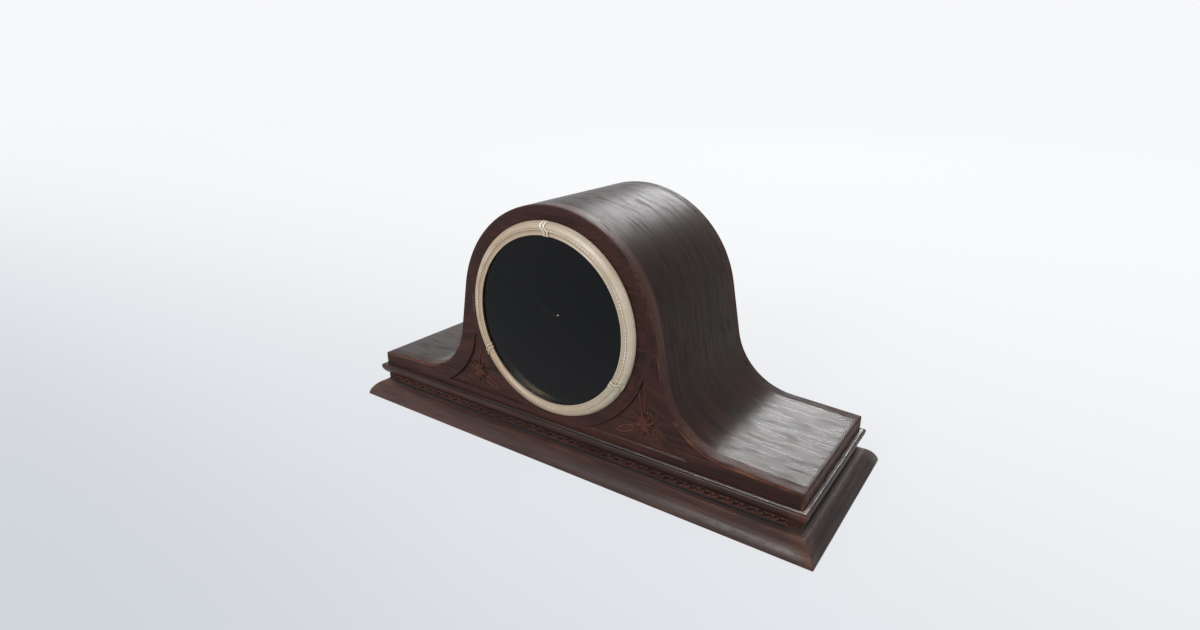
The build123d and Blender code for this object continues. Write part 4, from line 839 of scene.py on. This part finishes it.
@dataclass
class FrontBoard:
    """Front of the case: rounded edge, dial hole and two sunk spandrels."""

    outline: HatOutline
    back: float = -62.0
    face: float = FRONT_Y
    edge_round: float = 1.2
    hole: float = 80.0
    ring: float = 98.8
    recess_inset: float = 17.5
    ledge: float = 42.0
    depth: float = 2.5
    round_steps: int = 6
    banding_z: float = 72.0

    def build(self, finishes: Finishes) -> None:
        """Make the board."""
        hat, shell = self.outline, Shell()
        levels = [(0.0, self.back), (0.0, (self.back + self.face + self.edge_round) / 2)]
        for i in range(self.round_steps + 1):
            turn = math.pi / 2 * i / self.round_steps
            inset = self.edge_round * (1 - math.cos(turn))
            levels.append((inset, self.face + self.edge_round * (1 - math.sin(turn))))
        sharp = hat.both(hat.half_loop(0.0))
        rows, front = [], sharp
        for inset, y in levels:
            front = [mix_flat(a, b, self.tightness(a[0])) for a, b in zip(sharp, hat.both(hat.half_loop(inset)))]
            rows.append([shell.point((x, self.face + (y - self.face) * (1.0 if y == self.back else self.tightness(a[0])), z),
                                     self.figure(x, z, y), self.wear(x, z, inset)) for (x, z), a in zip(front, sharp)])
        shell.web(rows, ring=True)
        rim = circle(self.hole, 120)
        right = self.spandrel()
        recesses = [right, [(-x, z) for x, z in reversed(right)]]
        eased = [inward(loop, -0.35) for loop in recesses]
        shell.flat(front, [rim, *eased], lambda p: self.spot(p, self.face), 5.0)
        shell.flat(sharp, [rim], lambda p: self.spot(p, self.back))
        shell.web([[shell.point(*self.spot(p, y)) for p in rim] for y in (self.face, self.back)], ring=True)
        floor_y = self.face + self.depth
        for loop, open_loop in zip(recesses, eased):
            slope = [mix_flat(p, q, 0.2 if p[1] < self.ledge + 0.5 else 1.0) for p, q in zip(loop, inward(loop, 0.8))]
            low = [mix_flat(p, q, 0.4 if p[1] < self.ledge + 0.5 else 1.0) for p, q in zip(loop, inward(loop, 1.1))]
            # Lighter at the recess edge, rubbing with a painted highlight line; painted shade at the foot of the
            # walls.
            steps = [(open_loop, self.face, 0.4), (loop, self.face + 0.25, 0.3), (slope, floor_y - 0.25, -0.35), (low, floor_y, -0.3)]
            shell.web([[shell.point((x, y, z), self.figure(x, z, y), wear * self.ledge_wear(z)) for x, z in ring]
                       for ring, y, wear in steps], ring=True)
            shell.flat(low, [], lambda p: self.spot(p, floor_y, 0.14), 4.0)
        dress(shell.build("front_board", 26.0), finishes.board, Body.CASE, Slot.WOOD, "front_panel")

    def tightness(self, x: float) -> float:
        """Size of the edge round at a distance from the middle, as a share."""
        ease = min(max((abs(x) - 104) / 50, 0.0), 1.0)
        return 1 + 0.8 * ease * ease * (3 - 2 * ease)

    def ledge_wear(self, z: float) -> float:
        """Share of the recess edge's rubbing and painted shade at a height: none along the ledge."""
        return 0.0 if z < self.ledge + 1 else 1.0

    def spot(self, p: Flat, y: float, wear: float = 0.0) -> tuple[Spot, Spot, float]:
        """Place, grain and wear of a flat point at a depth."""
        return (p[0], y, p[1]), self.figure(p[0], p[1], y), wear

    def figure(self, x: float, z: float, y: float) -> Spot:
        """Grain: banded out from the dial on the hump, level below, along the bend on the hump's edge."""
        reach = math.hypot(x, z - DIAL_Z)
        if y > self.face + self.edge_round and z > self.banding_z and reach > self.ring + 1:
            return (math.atan2(z - DIAL_Z, x) * self.outline.hump_radius, y, 30.0)
        if reach > self.ring - 1 and z > self.banding_z:
            return (reach, 0.9 * (x / reach) * 100, 0.9 * (z - DIAL_Z) / reach * 100)
        return (x, z, y)

    def wear(self, x: float, z: float, inset: float) -> float:
        """Rubbing of the rounded edge, most on the wings."""
        round_share = math.sin(math.pi * min(inset / self.edge_round, 1.0)) if inset > 0 else 0.25
        wing = min(max((abs(x) - 95) / 60, 0.0), 1.0)
        return round_share * (0.45 + 0.55 * wing)

    def spandrel(self) -> list[Flat]:
        """Right recess in anticlockwise order."""
        curve = self.outline.rise(self.recess_inset, self.outline.half)
        out = [math.hypot(x, z - DIAL_Z) - self.ring for x, z in curve]
        kept = [i for i, (x, z) in enumerate(curve) if z > self.ledge and out[i] > 0 and x > 60]
        low, high = kept[0], kept[-1]
        below, above = curve[low - 1], curve[high + 1]
        foot = mix_flat(below, curve[low], (self.ledge - below[1]) / (curve[low][1] - below[1]))
        peak = mix_flat(curve[high], above, out[high] / (out[high] - out[high + 1]))
        turn_high = math.atan2(peak[1] - DIAL_Z, peak[0])
        turn_low = math.asin((self.ledge - DIAL_Z) / self.ring)
        arc = [turn_high + (turn_low - turn_high) * i / 30 for i in range(31)]
        ring = [(self.ring * math.cos(t), DIAL_Z + self.ring * math.sin(t)) for t in arc[1:]]
        ledge = [mix_flat(ring[-1], foot, i / 24) for i in range(1, 24)]
        return [foot, *[curve[i] for i in kept], peak, *ring, *ledge]


@dataclass
class Moulding:
    """Moulded board that runs round the case."""

    name: str
    node: str
    profile: list[tuple[float, float, float]]
    low: float
    high: float
    ledge_wear: float
    end_wear: float
    half_x: float = 233.5
    half_y: float = 74.0
    corner: float = 0.9
    spans_x: int = 30
    spans_y: int = 10

    def build(self, finishes: Finishes) -> None:
        """Make the moulding from its profile of reach, height and mark; the end sides and the closing faces get
        painted shade.
        """
        shell = Shell()
        runs = CaseSkin.lengths([(reach, z) for reach, z, _ in self.profile])
        for side in range(4):
            rows = []
            for (reach, z, wear), run in zip(self.profile, runs):
                # The end sides are painted darker and duller: painted shade.
                wear += self.end_wear * (side % 2)
                rows.append([shell.point((x, y, z), (along, run, 20.0 * side), wear + (1 - wear) * 0.5 * end)
                             for x, y, along, end in self.course(side, reach)])
            shell.web(rows)
        # The closing faces are painted dark and dull: painted shade where the shadowless back lamp would light them.
        for level, entry in ((self.low, self.profile[0]), (self.high, self.profile[-1])):
            loop = [(x, y) for side in range(4) for x, y, _, _ in self.course(side, entry[0])[:-1]]
            shell.flat(loop, [], lambda p, level=level: ((p[0], p[1], level), (p[0], p[1], level), self.ledge_wear), 14.0)
        finish = finishes.base if self.node == "plinth" else finishes.bead
        dress(shell.build(self.name, 24.0), finish, Body.CASE, Slot.WOOD, self.node)

    def course(self, side: int, reach: float) -> list[tuple[float, float, float, float]]:
        """One side of the board's edge, from mitre to mitre.

        Args:
            side: 0 front, 1 right, 2 back, 3 left.
            reach: How far the edge stands out from the case.

        Returns:
            Place along both axes, distance along the side, and nearness to a mitre.
        """
        hx, hy = self.half_x + reach, self.half_y + reach
        ends = [(-hx, -hy), (hx, -hy), (hx, hy), (-hx, hy)]
        a, b = ends[side], ends[(side + 1) % 4]
        length = math.hypot(b[0] - a[0], b[1] - a[1])
        ux, uy = (b[0] - a[0]) / length, (b[1] - a[1]) / length
        spans = self.spans_y if side % 2 else self.spans_x
        ease = [(0.293 * self.corner, 0.293 * self.corner), (0.617 * self.corner, 0.076 * self.corner)]
        places = list(ease)
        for i in range(spans + 1):
            places.append((self.corner + (length - 2 * self.corner) * i / spans, 0.0))
        for along, aside in reversed(ease):
            places.append((length - along, aside))
        return [(a[0] + ux * s - uy * t, a[1] + uy * s + ux * t, s - length / 2,
                 max(0.0, 1 - min(s, length - s) / 6)) for s, t in places]


def plinth() -> Moulding:
    """Flared base board."""
    toe, knee, neck = (16.5, 1.0), (5.5, 13.9), (0.0, 16.6)
    line = [(toe[0], 0.0), (toe[0], 0.5), *bowed(toe, knee, 1.8, 14), *bowed(knee, neck, -0.6, 6)[1:]]
    # Toe and knee rubbed lighter; the neck painted dark and dull, painted shade.
    rubbed_and_shaded = [0.35 if z < 2 or abs(z - 13.9) < 0.8 else -1.3 if z > 15.6 else 0.06 for _, z in line]
    # The top face and the end sides get painted shade.
    return Moulding("plinth_moulding", "plinth", [(r, z, wear) for (r, z), wear in zip(line, rubbed_and_shaded)], 0.0, 16.6, -1.3, -0.85)


def bead_rail() -> Moulding:
    """Bead between the carved frieze and the case."""
    root, nose, top = (0.0, 24.2), (4.6, 31.8), (2.6, 34.55)
    round_top = [*bowed(root, nose, 1.0, 10), *bowed(nose, top, 0.86, 10)[1:]]
    # The quirk behind the round top is painted dark: painted shade.
    quirk = [(1.9, 34.42), (1.0, 34.2), (0.25, 34.1), (0.05, 34.6)]
    profile = [(r, z, 0.0 if z > 33.4 else 0.12) for r, z in round_top] + [(r, z, -0.7) for r, z in quirk]
    return Moulding("bead_rail", "bead_moulding", profile, 24.2, 34.6, -1.0, 0.0)


@dataclass
class FriezeCarving:
    """Slip with a running row of cut scrolls and leaves."""

    half: float = 223.6
    low: float = 17.2
    high: float = 23.6
    back: float = -73.1
    front: float = FRONT_Y
    repeats: int = 36
    cells_long: int = 20
    cells_high: int = 16

    def build(self, finishes: Finishes) -> None:
        """Make the carved slip."""
        shell = Shell()
        columns = self.repeats * self.cells_long
        rows = []
        for k in range(self.cells_high + 1):
            up = k / self.cells_high
            z = self.low + (self.high - self.low) * up
            row = []
            for i in range(columns + 1):
                x = -self.half + 2 * self.half * i / columns
                rise = self.relief((i / self.cells_long) % 1.0, up)
                y = self.back - 0.08 - (self.back - self.front - 0.08) * rise
                # Raised surface painted lighter and the cuts dark: painted highlight and painted shade.
                row.append(shell.point((x, y, z), (x, z, y), 0.4 - 3.4 * max(0.8 - rise, 0)))
            rows.append(row)
        shell.web(rows)
        rim = Shell.rim(rows)
        behind = [shell.point((shell.spots[i][0], self.back, shell.spots[i][2])) for i in rim]
        shell.web([rim, behind], ring=True)
        shell.cap(behind)
        dress(shell.build("frieze_leaves", 50.0), finishes.frieze, Body.CASE, Slot.CARVED, "frieze_carving")

    @staticmethod
    def relief(u: float, v: float) -> float:
        """Height of the carving, from 0 to 1, over one repeat and the slip's height."""
        x, z = 12.4 * u, 6.4 * (v - 0.5)
        reach, turn = math.hypot((x - 3.6) / 2.3, z / 2.0), math.atan2(z / 2.0, (x - 3.6) / 2.3)
        gap = 1 - 0.9 * math.exp(-(((turn + 2.3) / 0.6) ** 2))
        cut = max(gap * math.exp(-(((reach - 0.95) / 0.28) ** 2)), 0.7 * math.exp(-((reach / 0.26) ** 2)))
        for middle, lean, long, wide in ((8.2, 0.8, 2.5, 0.75), (10.6, -0.75, 2.0, 0.65), (6.4, -1.0, 1.4, 0.5)):
            along = (x - middle) * math.cos(lean) + z * math.sin(lean)
            aside = -(x - middle) * math.sin(lean) + z * math.cos(lean)
            cut = max(cut, 0.9 * math.exp(-((along / long) ** 6) - (aside / wide) ** 2))
        edge = min(1.0, v / 0.07, (1 - v) / 0.07)
        return (1 - 0.85 * min(cut, 1.0)) * max(edge, 0.0)


@dataclass
class SpandrelCarving:
    """Carved flower with stems and a leaf loop in one spandrel."""

    side: int
    floor: float = FRONT_Y + 2.5
    flower: Flat = (95.0, 61.5)
    petals: list[tuple[float, float, float]] = field(default_factory=lambda: [
        (4, 8.6, 3.0), (24, 10.8, 3.5), (46, 8.4, 3.0), (66, 10.2, 3.3), (86, 9.6, 3.0), (104, 13.0, 3.5), (119, 9.8, 2.8),
        (134, 13.2, 3.7), (154, 9.0, 3.0), (171, 10.4, 3.1), (188, 12.6, 3.5), (208, 9.2, 3.0), (229, 12.0, 3.5),
        (248, 9.0, 3.0), (266, 12.0, 3.5), (285, 8.8, 3.0), (306, 10.0, 3.2), (331, 9.2, 3.1)])
    lines: list[list[Flat]] = field(default_factory=lambda: [
        [(91.6, 105), (88.6, 97), (89.4, 86), (92.8, 72)],
        [(91.6, 105), (95.4, 97), (96.2, 86), (95.2, 72)],
        [(102.5, 58.2), (107.5, 54.5), (112.0, 50.0), (116.5, 45.6)],
        [(101.0, 56.2), (106.0, 52.6), (110.5, 48.6), (114.5, 44.6)],
        [(84.6, 57.4), (79.5, 58.0), (73.5, 54.6), (66.4, 48.3)],
        [(84.6, 53.4), (79.0, 50.0), (72.5, 47.6), (66.4, 48.3)],
        [(98.0, 64.0), (98.6, 68.0), (99.6, 70.4), (101.0, 72.4)],
        [(99.5, 63.0), (102.4, 66.0), (104.4, 67.6), (106.6, 68.2)],
        [(97.4, 58.0), (99.4, 54.6), (101.4, 52.2), (104.0, 50.6)]])
    dots: list[Flat] = field(default_factory=lambda: [
        (98.0, 73.4), (101.2, 72.8), (104.2, 71.0), (106.8, 68.4), (108.2, 64.8), (100.2, 49.8), (104.2, 50.4),
        (107.2, 52.8), (96.6, 47.6)])

    def build(self, finishes: Finishes) -> None:
        """Make the carving."""
        shell = Shell()
        for turn, length, width in self.petals:
            self.petal(shell, math.radians(turn), length, width)
        self.button(shell, self.flower, 2.6, 1.85)
        for line in self.lines:
            self.stem(shell, line, 0.62, 1.0)
        for dot in self.dots:
            self.button(shell, dot, 0.75, 0.6)
        name, node = ("right_flower", "right_carving") if self.side > 0 else ("left_flower", "left_carving")
        dress(shell.build(name, 60.0), finishes.carved, Body.CASE, Slot.CARVED, node)

    def place(self, p: Flat, rise: float) -> Spot:
        """Place of a flat point at a height above the sunk floor."""
        return (self.side * p[0], self.floor - rise, p[1])

    def petal(self, shell: Shell, turn: float, length: float, width: float) -> None:
        """Pointed petal with a crest along its middle.

        Args:
            shell: Piece to add to.
            turn: Direction from the flower's middle.
            length: Distance from the middle to the tip.
            width: Widest part.
        """
        ux, uz = math.cos(turn), math.sin(turn)
        rows = []
        for i in range(11):
            s = i / 10
            half = width / 2 * math.sin(math.pi * min(s * 0.86 + 0.14, 1.0)) ** 0.8
            row = []
            for k in range(9):
                t = k / 4 - 1
                along, aside = 1.6 + (length - 1.6) * s, half * t
                crest = min(1.0, 1.6 * (1 - abs(t)))
                rise = (0.4 + 1.3 * math.sin(math.pi * (0.22 + 0.7 * s))) * crest - SINK
                p = (self.flower[0] + ux * along - uz * aside, self.flower[1] + uz * along + ux * aside)
                # Crest painted a little lighter and the edges dark: painted shade in the gaps between petals.
                row.append(shell.point(self.place(p, rise), (along, aside, 10 * turn), 1.35 * crest - 1.05))
            rows.append(row)
        shell.web(rows)
        self.seal(shell, rows)

    def stem(self, shell: Shell, line: Sequence[Flat], radius: float, rise: float) -> None:
        """Thin raised line through four points.

        Args:
            shell: Piece to add to.
            line: Control points of the curve.
            radius: Half of its width.
            rise: Height above the floor.
        """
        rows = []
        for i in range(17):
            t = i / 16
            weights = ((1 - t) ** 3, 3 * t * (1 - t) ** 2, 3 * t * t * (1 - t), t**3)
            slopes = (-3 * (1 - t) ** 2, 3 * (1 - t) * (1 - 3 * t), 3 * t * (2 - 3 * t), 3 * t * t)
            x, z = (sum(w * p[k] for w, p in zip(weights, line)) for k in (0, 1))
            dx, dz = (sum(w * p[k] for w, p in zip(slopes, line)) for k in (0, 1))
            length = math.hypot(dx, dz)
            taper = 0.45 + 0.55 * math.sin(math.pi * (0.12 + 0.76 * t))
            row = []
            for k in range(7):
                turn = math.pi * k / 6
                aside = radius * taper * math.cos(turn)
                p = (x - dz / length * aside, z + dx / length * aside)
                # Top of the stem painted light: painted highlight.
                row.append(shell.point(self.place(p, rise * taper * math.sin(turn) - SINK), (20 * t, aside, 0), 1.3 * math.sin(turn)))
            rows.append(row)
        shell.web(rows)
        self.seal(shell, rows)

    def button(self, shell: Shell, p: Flat, radius: float, rise: float) -> None:
        """Small round boss."""
        rows = []
        for i in range(5):
            lift = math.pi / 2 * i / 5
            # Top of the dot painted light: painted highlight.
            rows.append([shell.point(self.place((p[0] + radius * math.cos(lift) * math.cos(a), p[1] + radius * math.cos(lift) * math.sin(a)),
                                                rise * math.sin(lift) - SINK), None, 1.3 * math.sin(lift))
                         for a in [math.tau * k / 12 for k in range(12)]])
        shell.web(rows, ring=True)
        shell.cap(rows[-1])
        shell.cap(rows[0])

    @staticmethod
    def seal(shell: Shell, rows: Sequence[Sequence[int]]) -> None:
        """Close the underside of an open grid."""
        shell.cap(Shell.rim(rows))


@dataclass
class Bezel:
    """Pale gilt ring with a cove, a row of beads and a reeded outer round."""

    beads: int = 168
    steps: int = 6
    tie_turns: tuple[float, ...] = (90.0, -30.0, 210.0)

    def profile(self) -> list[tuple[float, float, float, float]]:
        """Section from the inner lip to the seat: radius, height, bead share and a mark that paints highlights on the
        lip, the bead tops and the round, and shade in the grooves, the reeds and the seat.
        """
        points = [(76.3, 4.0, 0.0, -0.4), (76.3, 5.5, 0.0, 0.0), (76.45, 5.9, 0.0, 0.5), (76.95, 6.0, 0.0, 0.3)]
        points += [(r, h, 0.0, -0.08) for r, h in bowed((77.0, 5.95), (80.3, 6.5), 0.7, 9)]
        points.append((80.55, 6.3, 0.0, -0.8))
        for i in range(1, 8):
            turn = math.pi * i / 8
            points.append((81.25 - 0.72 * math.cos(turn), 6.3 + 0.95 * math.sin(turn), math.sin(turn), 1.0 * math.sin(turn)))
        points.append((82.0, 6.1, 0.0, -1.0))
        # Reed lines along the round painted dark, painted shade; the rest of the round painted lighter, rubbing with a
        # painted highlight.
        for i, (r, h) in enumerate(bowed((82.25, 6.5), (87.9, 1.5), -1.3, 30)):
            ripple = 0.05 * math.cos(math.tau * i / 7.5)
            points.append((r, h + ripple, 0.0, 0.22 if ripple > -0.03 else -0.3))
        points += [(87.9, 1.2, 0.0, -0.5), (87.7, 1.1, 0.0, -0.6), (79.6, 1.1, 0.0, -0.3), (79.6, 4.0, 0.0, -0.3)]
        return points

    def patina_and_wall_shade(self, turn: float, shaded_wall: bool = False) -> Spot:
        """Share of green spots at an angle, most at the lower right tie, and the share of painted shade on the inner
        wall.
        """
        off = (math.degrees(turn) - self.tie_turns[1] + 180) % 360 - 180
        return (math.exp(-((off / 9) ** 2)) + 0.25 * math.exp(-(((off + 30) / 40) ** 2)), 0.96 if shaded_wall else 0.0, 0.0)

    @staticmethod
    def lower_left_shade(turn: float, radius: float) -> float:
        """Painted shade, darker and duller, on the round at an angle, most at the lower left."""
        off = (math.degrees(turn) - 238 + 180) % 360 - 180
        return 0.8 * math.exp(-((off / 32) ** 2)) * min(max((radius - 80) / 2.5, 0.0), 1.0)

    def spot(self, turn: float, radius: float, height: float) -> Spot:
        """Place at an angle, a radius and a height in front of the case."""
        return (radius * math.cos(turn), FRONT_Y - height, DIAL_Z + radius * math.sin(turn))

    def build(self, finishes: Finishes) -> None:
        """Make the ring and its three ties."""
        shell, section = Shell(), self.profile()
        rows = []
        count = self.beads * self.steps
        for i in range(count):
            turn = math.tau * i / count
            swell = abs(math.sin(math.pi * i / self.steps))
            # Painted shade between the beads and on the lower left of the round.
            rows.append([shell.point(self.spot(turn, r, h - 0.5 * bead * (1 - swell)), self.patina_and_wall_shade(turn, r < 76.4 and h < 5.6),
                                     wear - 1.4 * bead * (1 - swell) - self.lower_left_shade(turn, r)) for r, h, bead, wear in section])
        shell.web(rows, ring=True, loop=True)
        dress(shell.build("gilt_ring", 50.0), finishes.gilt, Body.BEZEL, Slot.BEZEL, "bezel_ring")
        ties = Shell()
        for turn in self.tie_turns:
            self.tie(ties, math.radians(turn))
        dress(ties.build("ribbon_ties", 60.0), finishes.gilt, Body.BEZEL, Slot.BEZEL, "bezel_bands")

    def tie(self, shell: Shell, turn: float) -> None:
        """Two ribbons side by side over the ring, with a small bar at each end."""
        for offset in (-1.65, 1.65):
            self.ribbon(shell, turn, offset, 1.35)
        for radius, height, half, size in ((87.5, 2.9, 3.7, 0.95), (76.6, 5.9, 3.0, 0.55)):
            shift = self.drift(1.0 if radius > 80 else 0.0)
            rows = []
            for i in range(9):
                swell = size * max(math.sin(math.pi * (0.08 + 0.84 * i / 8)), 0.2) ** 0.4
                angle = turn + (shift + half * (i / 4 - 1)) / radius
                rows.append([shell.point(self.spot(angle, radius + swell * math.cos(a), height + swell * math.sin(a)), self.patina_and_wall_shade(turn), 0.2)
                             for a in [math.tau * k / 8 for k in range(8)]])
            shell.web(rows, ring=True)
            shell.cap(rows[0])
            shell.cap(rows[-1])

    @staticmethod
    def drift(share: float) -> float:
        """Sideways place of a ribbon from the inner lip, at 0, to the outer edge, at 1."""
        if share > 0.75:
            return 2.3 - 0.9 * (share - 0.75) / 0.25
        ease = min(max((share - 0.36) / 0.39, 0.0), 1.0)
        return -1.7 + 4.0 * ease * ease * (3 - 2 * ease)

    def ribbon(self, shell: Shell, turn: float, offset: float, half: float) -> None:
        """One ribbon over the section.

        Args:
            shell: Piece to add to.
            turn: Angle of the tie on the ring.
            offset: Distance of the ribbon from the tie's middle.
            half: Half of its width.
        """
        path = [(76.45, 5.0), (76.6, 6.0), (77.4, 6.05), (78.6, 5.95), (79.8, 6.4), (80.8, 6.95),
                (81.8, 7.0), (82.8, 6.85), (83.8, 6.6), (84.8, 6.1), (85.8, 5.3), (86.7, 4.25), (87.4, 3.0), (87.75, 2.1)]
        # Each ribbon's top painted bright, most on the top tie, and its sides dark: painted highlight and painted
        # shade.
        ribbon_highlight = 2.6 if turn > 1 and turn < 2 else 1.5
        rows = []
        for i, (r, h) in enumerate(path):
            share = (r - path[0][0]) / (path[-1][0] - path[0][0])
            middle = offset + self.drift(share)
            a, b = path[max(i - 1, 0)], path[min(i + 1, len(path) - 1)]
            length = math.hypot(b[0] - a[0], b[1] - a[1])
            out = (-(b[1] - a[1]) / length, (b[0] - a[0]) / length)
            row = []
            for k in range(10):
                bow = math.tau * k / 10
                lift = 0.8 * math.sin(bow)
                angle = turn + (middle + half * math.cos(bow)) / r
                row.append(shell.point(self.spot(angle, r + out[0] * lift, h + out[1] * lift), self.patina_and_wall_shade(turn),
                                       ribbon_highlight * math.sin(bow) - 1.15))
            rows.append(row)
        shell.web(rows, ring=True)
        shell.cap(rows[0])
        shell.cap(rows[-1])


@dataclass
class Studio:
    """Pale floor, soft light and the camera."""

    eye: Spot = (0.352257, -0.504243, 0.341154)
    yaw: float = 34.934
    pitch: float = -19.988
    lens: float = 20.475
    sensor: float = 36.0
    middle: Spot = (0.1, 0.0, 0.1)
    reach: float = 4.0

    def build(self) -> None:
        """Make the stage, the lamps and the camera."""
        self.floor()
        self.world()
        self.lamp("back_softbox", 105.0, 31.0, 1.35, 109.0, False)
        self.lamp("front_softbox", -99.0, 25.0, 1.5, 109.0)
        self.lamp("right_fill", 5.0, 20.0, 2.2, 77.0).visible_glossy = False
        self.lamp("left_glow", 138.0, 10.0, 2.4, 9.0)
        data = bpy.data.cameras.new("photo_camera")
        data.lens, data.sensor_width, data.sensor_fit = self.lens, self.sensor, "HORIZONTAL"
        data.clip_start, data.clip_end = 0.01, 100.0
        camera = bpy.data.objects.new("photo_camera", data)
        camera.location = self.eye
        camera.rotation_euler = (math.radians(90 + self.pitch), 0.0, math.radians(self.yaw))
        bpy.context.scene.collection.objects.link(camera)
        bpy.context.scene.camera = camera
        bpy.context.scene.view_settings.view_transform = "Standard"

    def lamp(
        self, name: str, turn: float, lift: float, size: float, power: float, shadow: bool = True
    ) -> bpy.types.Object:
        """Soft area lamp that looks at the case.

        Args:
            name: Name of the lamp.
            turn: Direction in plan, in degrees from the right-hand side.
            lift: Height above the horizon, in degrees.
            size: Width and height.
            power: Watts.
            shadow: Whether the case keeps its light from what lies behind; it also sets multiple importance sampling.

        Returns:
            The lamp.
        """
        data = bpy.data.lights.new(name, "AREA")
        data.shape, data.size, data.energy, data.use_shadow = "SQUARE", size, power, shadow
        data.cycles.use_multiple_importance_sampling = shadow
        lamp = bpy.data.objects.new(name, data)
        turn, lift = math.radians(turn), math.radians(lift)
        flat = self.reach * math.cos(lift)
        away = Vector((flat * math.cos(turn), flat * math.sin(turn), self.reach * math.sin(lift)))
        lamp.location = Vector(self.middle) + away
        lamp.rotation_euler = (-away).to_track_quat("-Z", "Y").to_euler()
        bpy.context.scene.collection.objects.link(lamp)
        return lamp

    def floor(self) -> None:
        """Wide pale floor that keeps a soft shadow."""
        shell = Shell()
        size, cells = 90000.0, 6
        places = [size * (2 * i / cells - 1) for i in range(cells + 1)]
        rows = [[shell.point((x, y, -0.05)) for x in places] for y in places]
        shell.web(rows)
        floor = shell.build("studio_floor")
        material, bench, shader = blank_material("pale_floor")
        place = bench.add("ShaderNodeTexCoord").outputs["Object"]
        # The tone is painted darker towards the front and near the case, painted shade on the floor; the lit share
        # keeps the real shadow.
        drift = bench.dot(place, (-0.2, -2.5, 0.0))
        away = bench.add("ShaderNodeVectorMath", {"operation": "LENGTH"}, in0=place).outputs["Value"]
        near = bench.math("DIVIDE", 1.0, bench.math("ADD", 1.0, bench.math("MULTIPLY", bench.math("MULTIPLY", away, away), 0.39)))
        fade = bench.add("ShaderNodeMath", {"operation": "SMOOTH_MIN"}, in0=bench.math("POWER", math.e, drift),
                         in1=2.7, in2=0.9).outputs[0]
        tone = bench.blend(bench.math("MULTIPLY", fade, bench.math("DIVIDE", near, 2.7)), BACKDROP, (0.6, 0.632, 0.682, 1))
        seen = self.seen(bench)
        lit = bench.blend(1.0, tone, (0.72, 0.72, 0.72, 1), "MULTIPLY")
        bench.feed(shader.inputs["Base Color"], bench.blend(seen, (0.58, 0.59, 0.61, 1), lit))
        shader.inputs["Roughness"].default_value = 0.9
        shader.inputs["Specular IOR Level"].default_value = 0.0
        glow = bench.add("ShaderNodeEmission", None, Color=tone, Strength=1.0)
        share = bench.math("MULTIPLY", seen, bench.math("SUBTRACT", 1.0, bench.math("MULTIPLY", near, 0.14)))
        mixed = bench.add("ShaderNodeMixShader", None, in0=share, in1=shader.outputs[0], in2=glow.outputs[0])
        bench.feed(material.node_tree.nodes["Material Output"].inputs["Surface"], mixed.outputs[0])
        floor.data.materials.append(material)

    @staticmethod
    def seen(bench: Bench) -> bpy.types.NodeSocket:
        """One for the camera and for what shows in gloss and glass, nought for scattered light."""
        path = bench.add("ShaderNodeLightPath")
        mirrored = bench.math("ADD", path.outputs["Is Glossy Ray"], path.outputs["Is Transmission Ray"])
        return bench.math("ADD", path.outputs["Is Camera Ray"], mirrored, True)

    def world(self) -> None:
        """Pale surroundings to the eye, in gloss and in glass; plain soft light on the object."""
        world = bpy.data.worlds.new("studio_world")
        bpy.context.scene.world = world
        world.use_nodes = True
        bench = Bench(world.node_tree)
        lit = bench.add("ShaderNodeBackground", None, Color=(0.94, 0.97, 1.0, 1), Strength=0.7)
        seen = bench.add("ShaderNodeBackground", None, Color=BACKDROP, Strength=1.0)
        mixed = bench.add("ShaderNodeMixShader", None, in0=self.seen(bench), in1=lit.outputs[0], in2=seen.outputs[0])
        bench.feed(world.node_tree.nodes["World Output"].inputs["Surface"], mixed.outputs[0])


def dress_frame(finishes: Finishes) -> None:
    """Give every frame node that still shows its finish."""
    slots = {part["node"]: part["material_slot"] for part in frame["record"]["subparts"]}
    for name, node in frame["nodes"].items():
        if node.hide_render:
            continue
        material = finishes.by_node.get(name, finishes.by_slot[slots[name]])
        if node.data.materials:
            node.data.materials[0] = material
        else:
            node.data.materials.append(material)
        log.info("%s: frame node in %s", name, material.name)


def main() -> None:
    """Build the pieces in order, then the stage."""
    logging.basicConfig(level=logging.INFO, format="%(message)s")
    finishes = Finishes()
    outline = HatOutline()
    CaseSkin(outline).build(finishes)
    FrontBoard(outline).build(finishes)
    plinth().build(finishes)
    bead_rail().build(finishes)
    FriezeCarving().build(finishes)
    for side in (-1, 1):
        SpandrelCarving(side).build(finishes)
    Bezel().build(finishes)
    dress_frame(finishes)
    Studio().build()


if __name__ == "__main__":
    main()
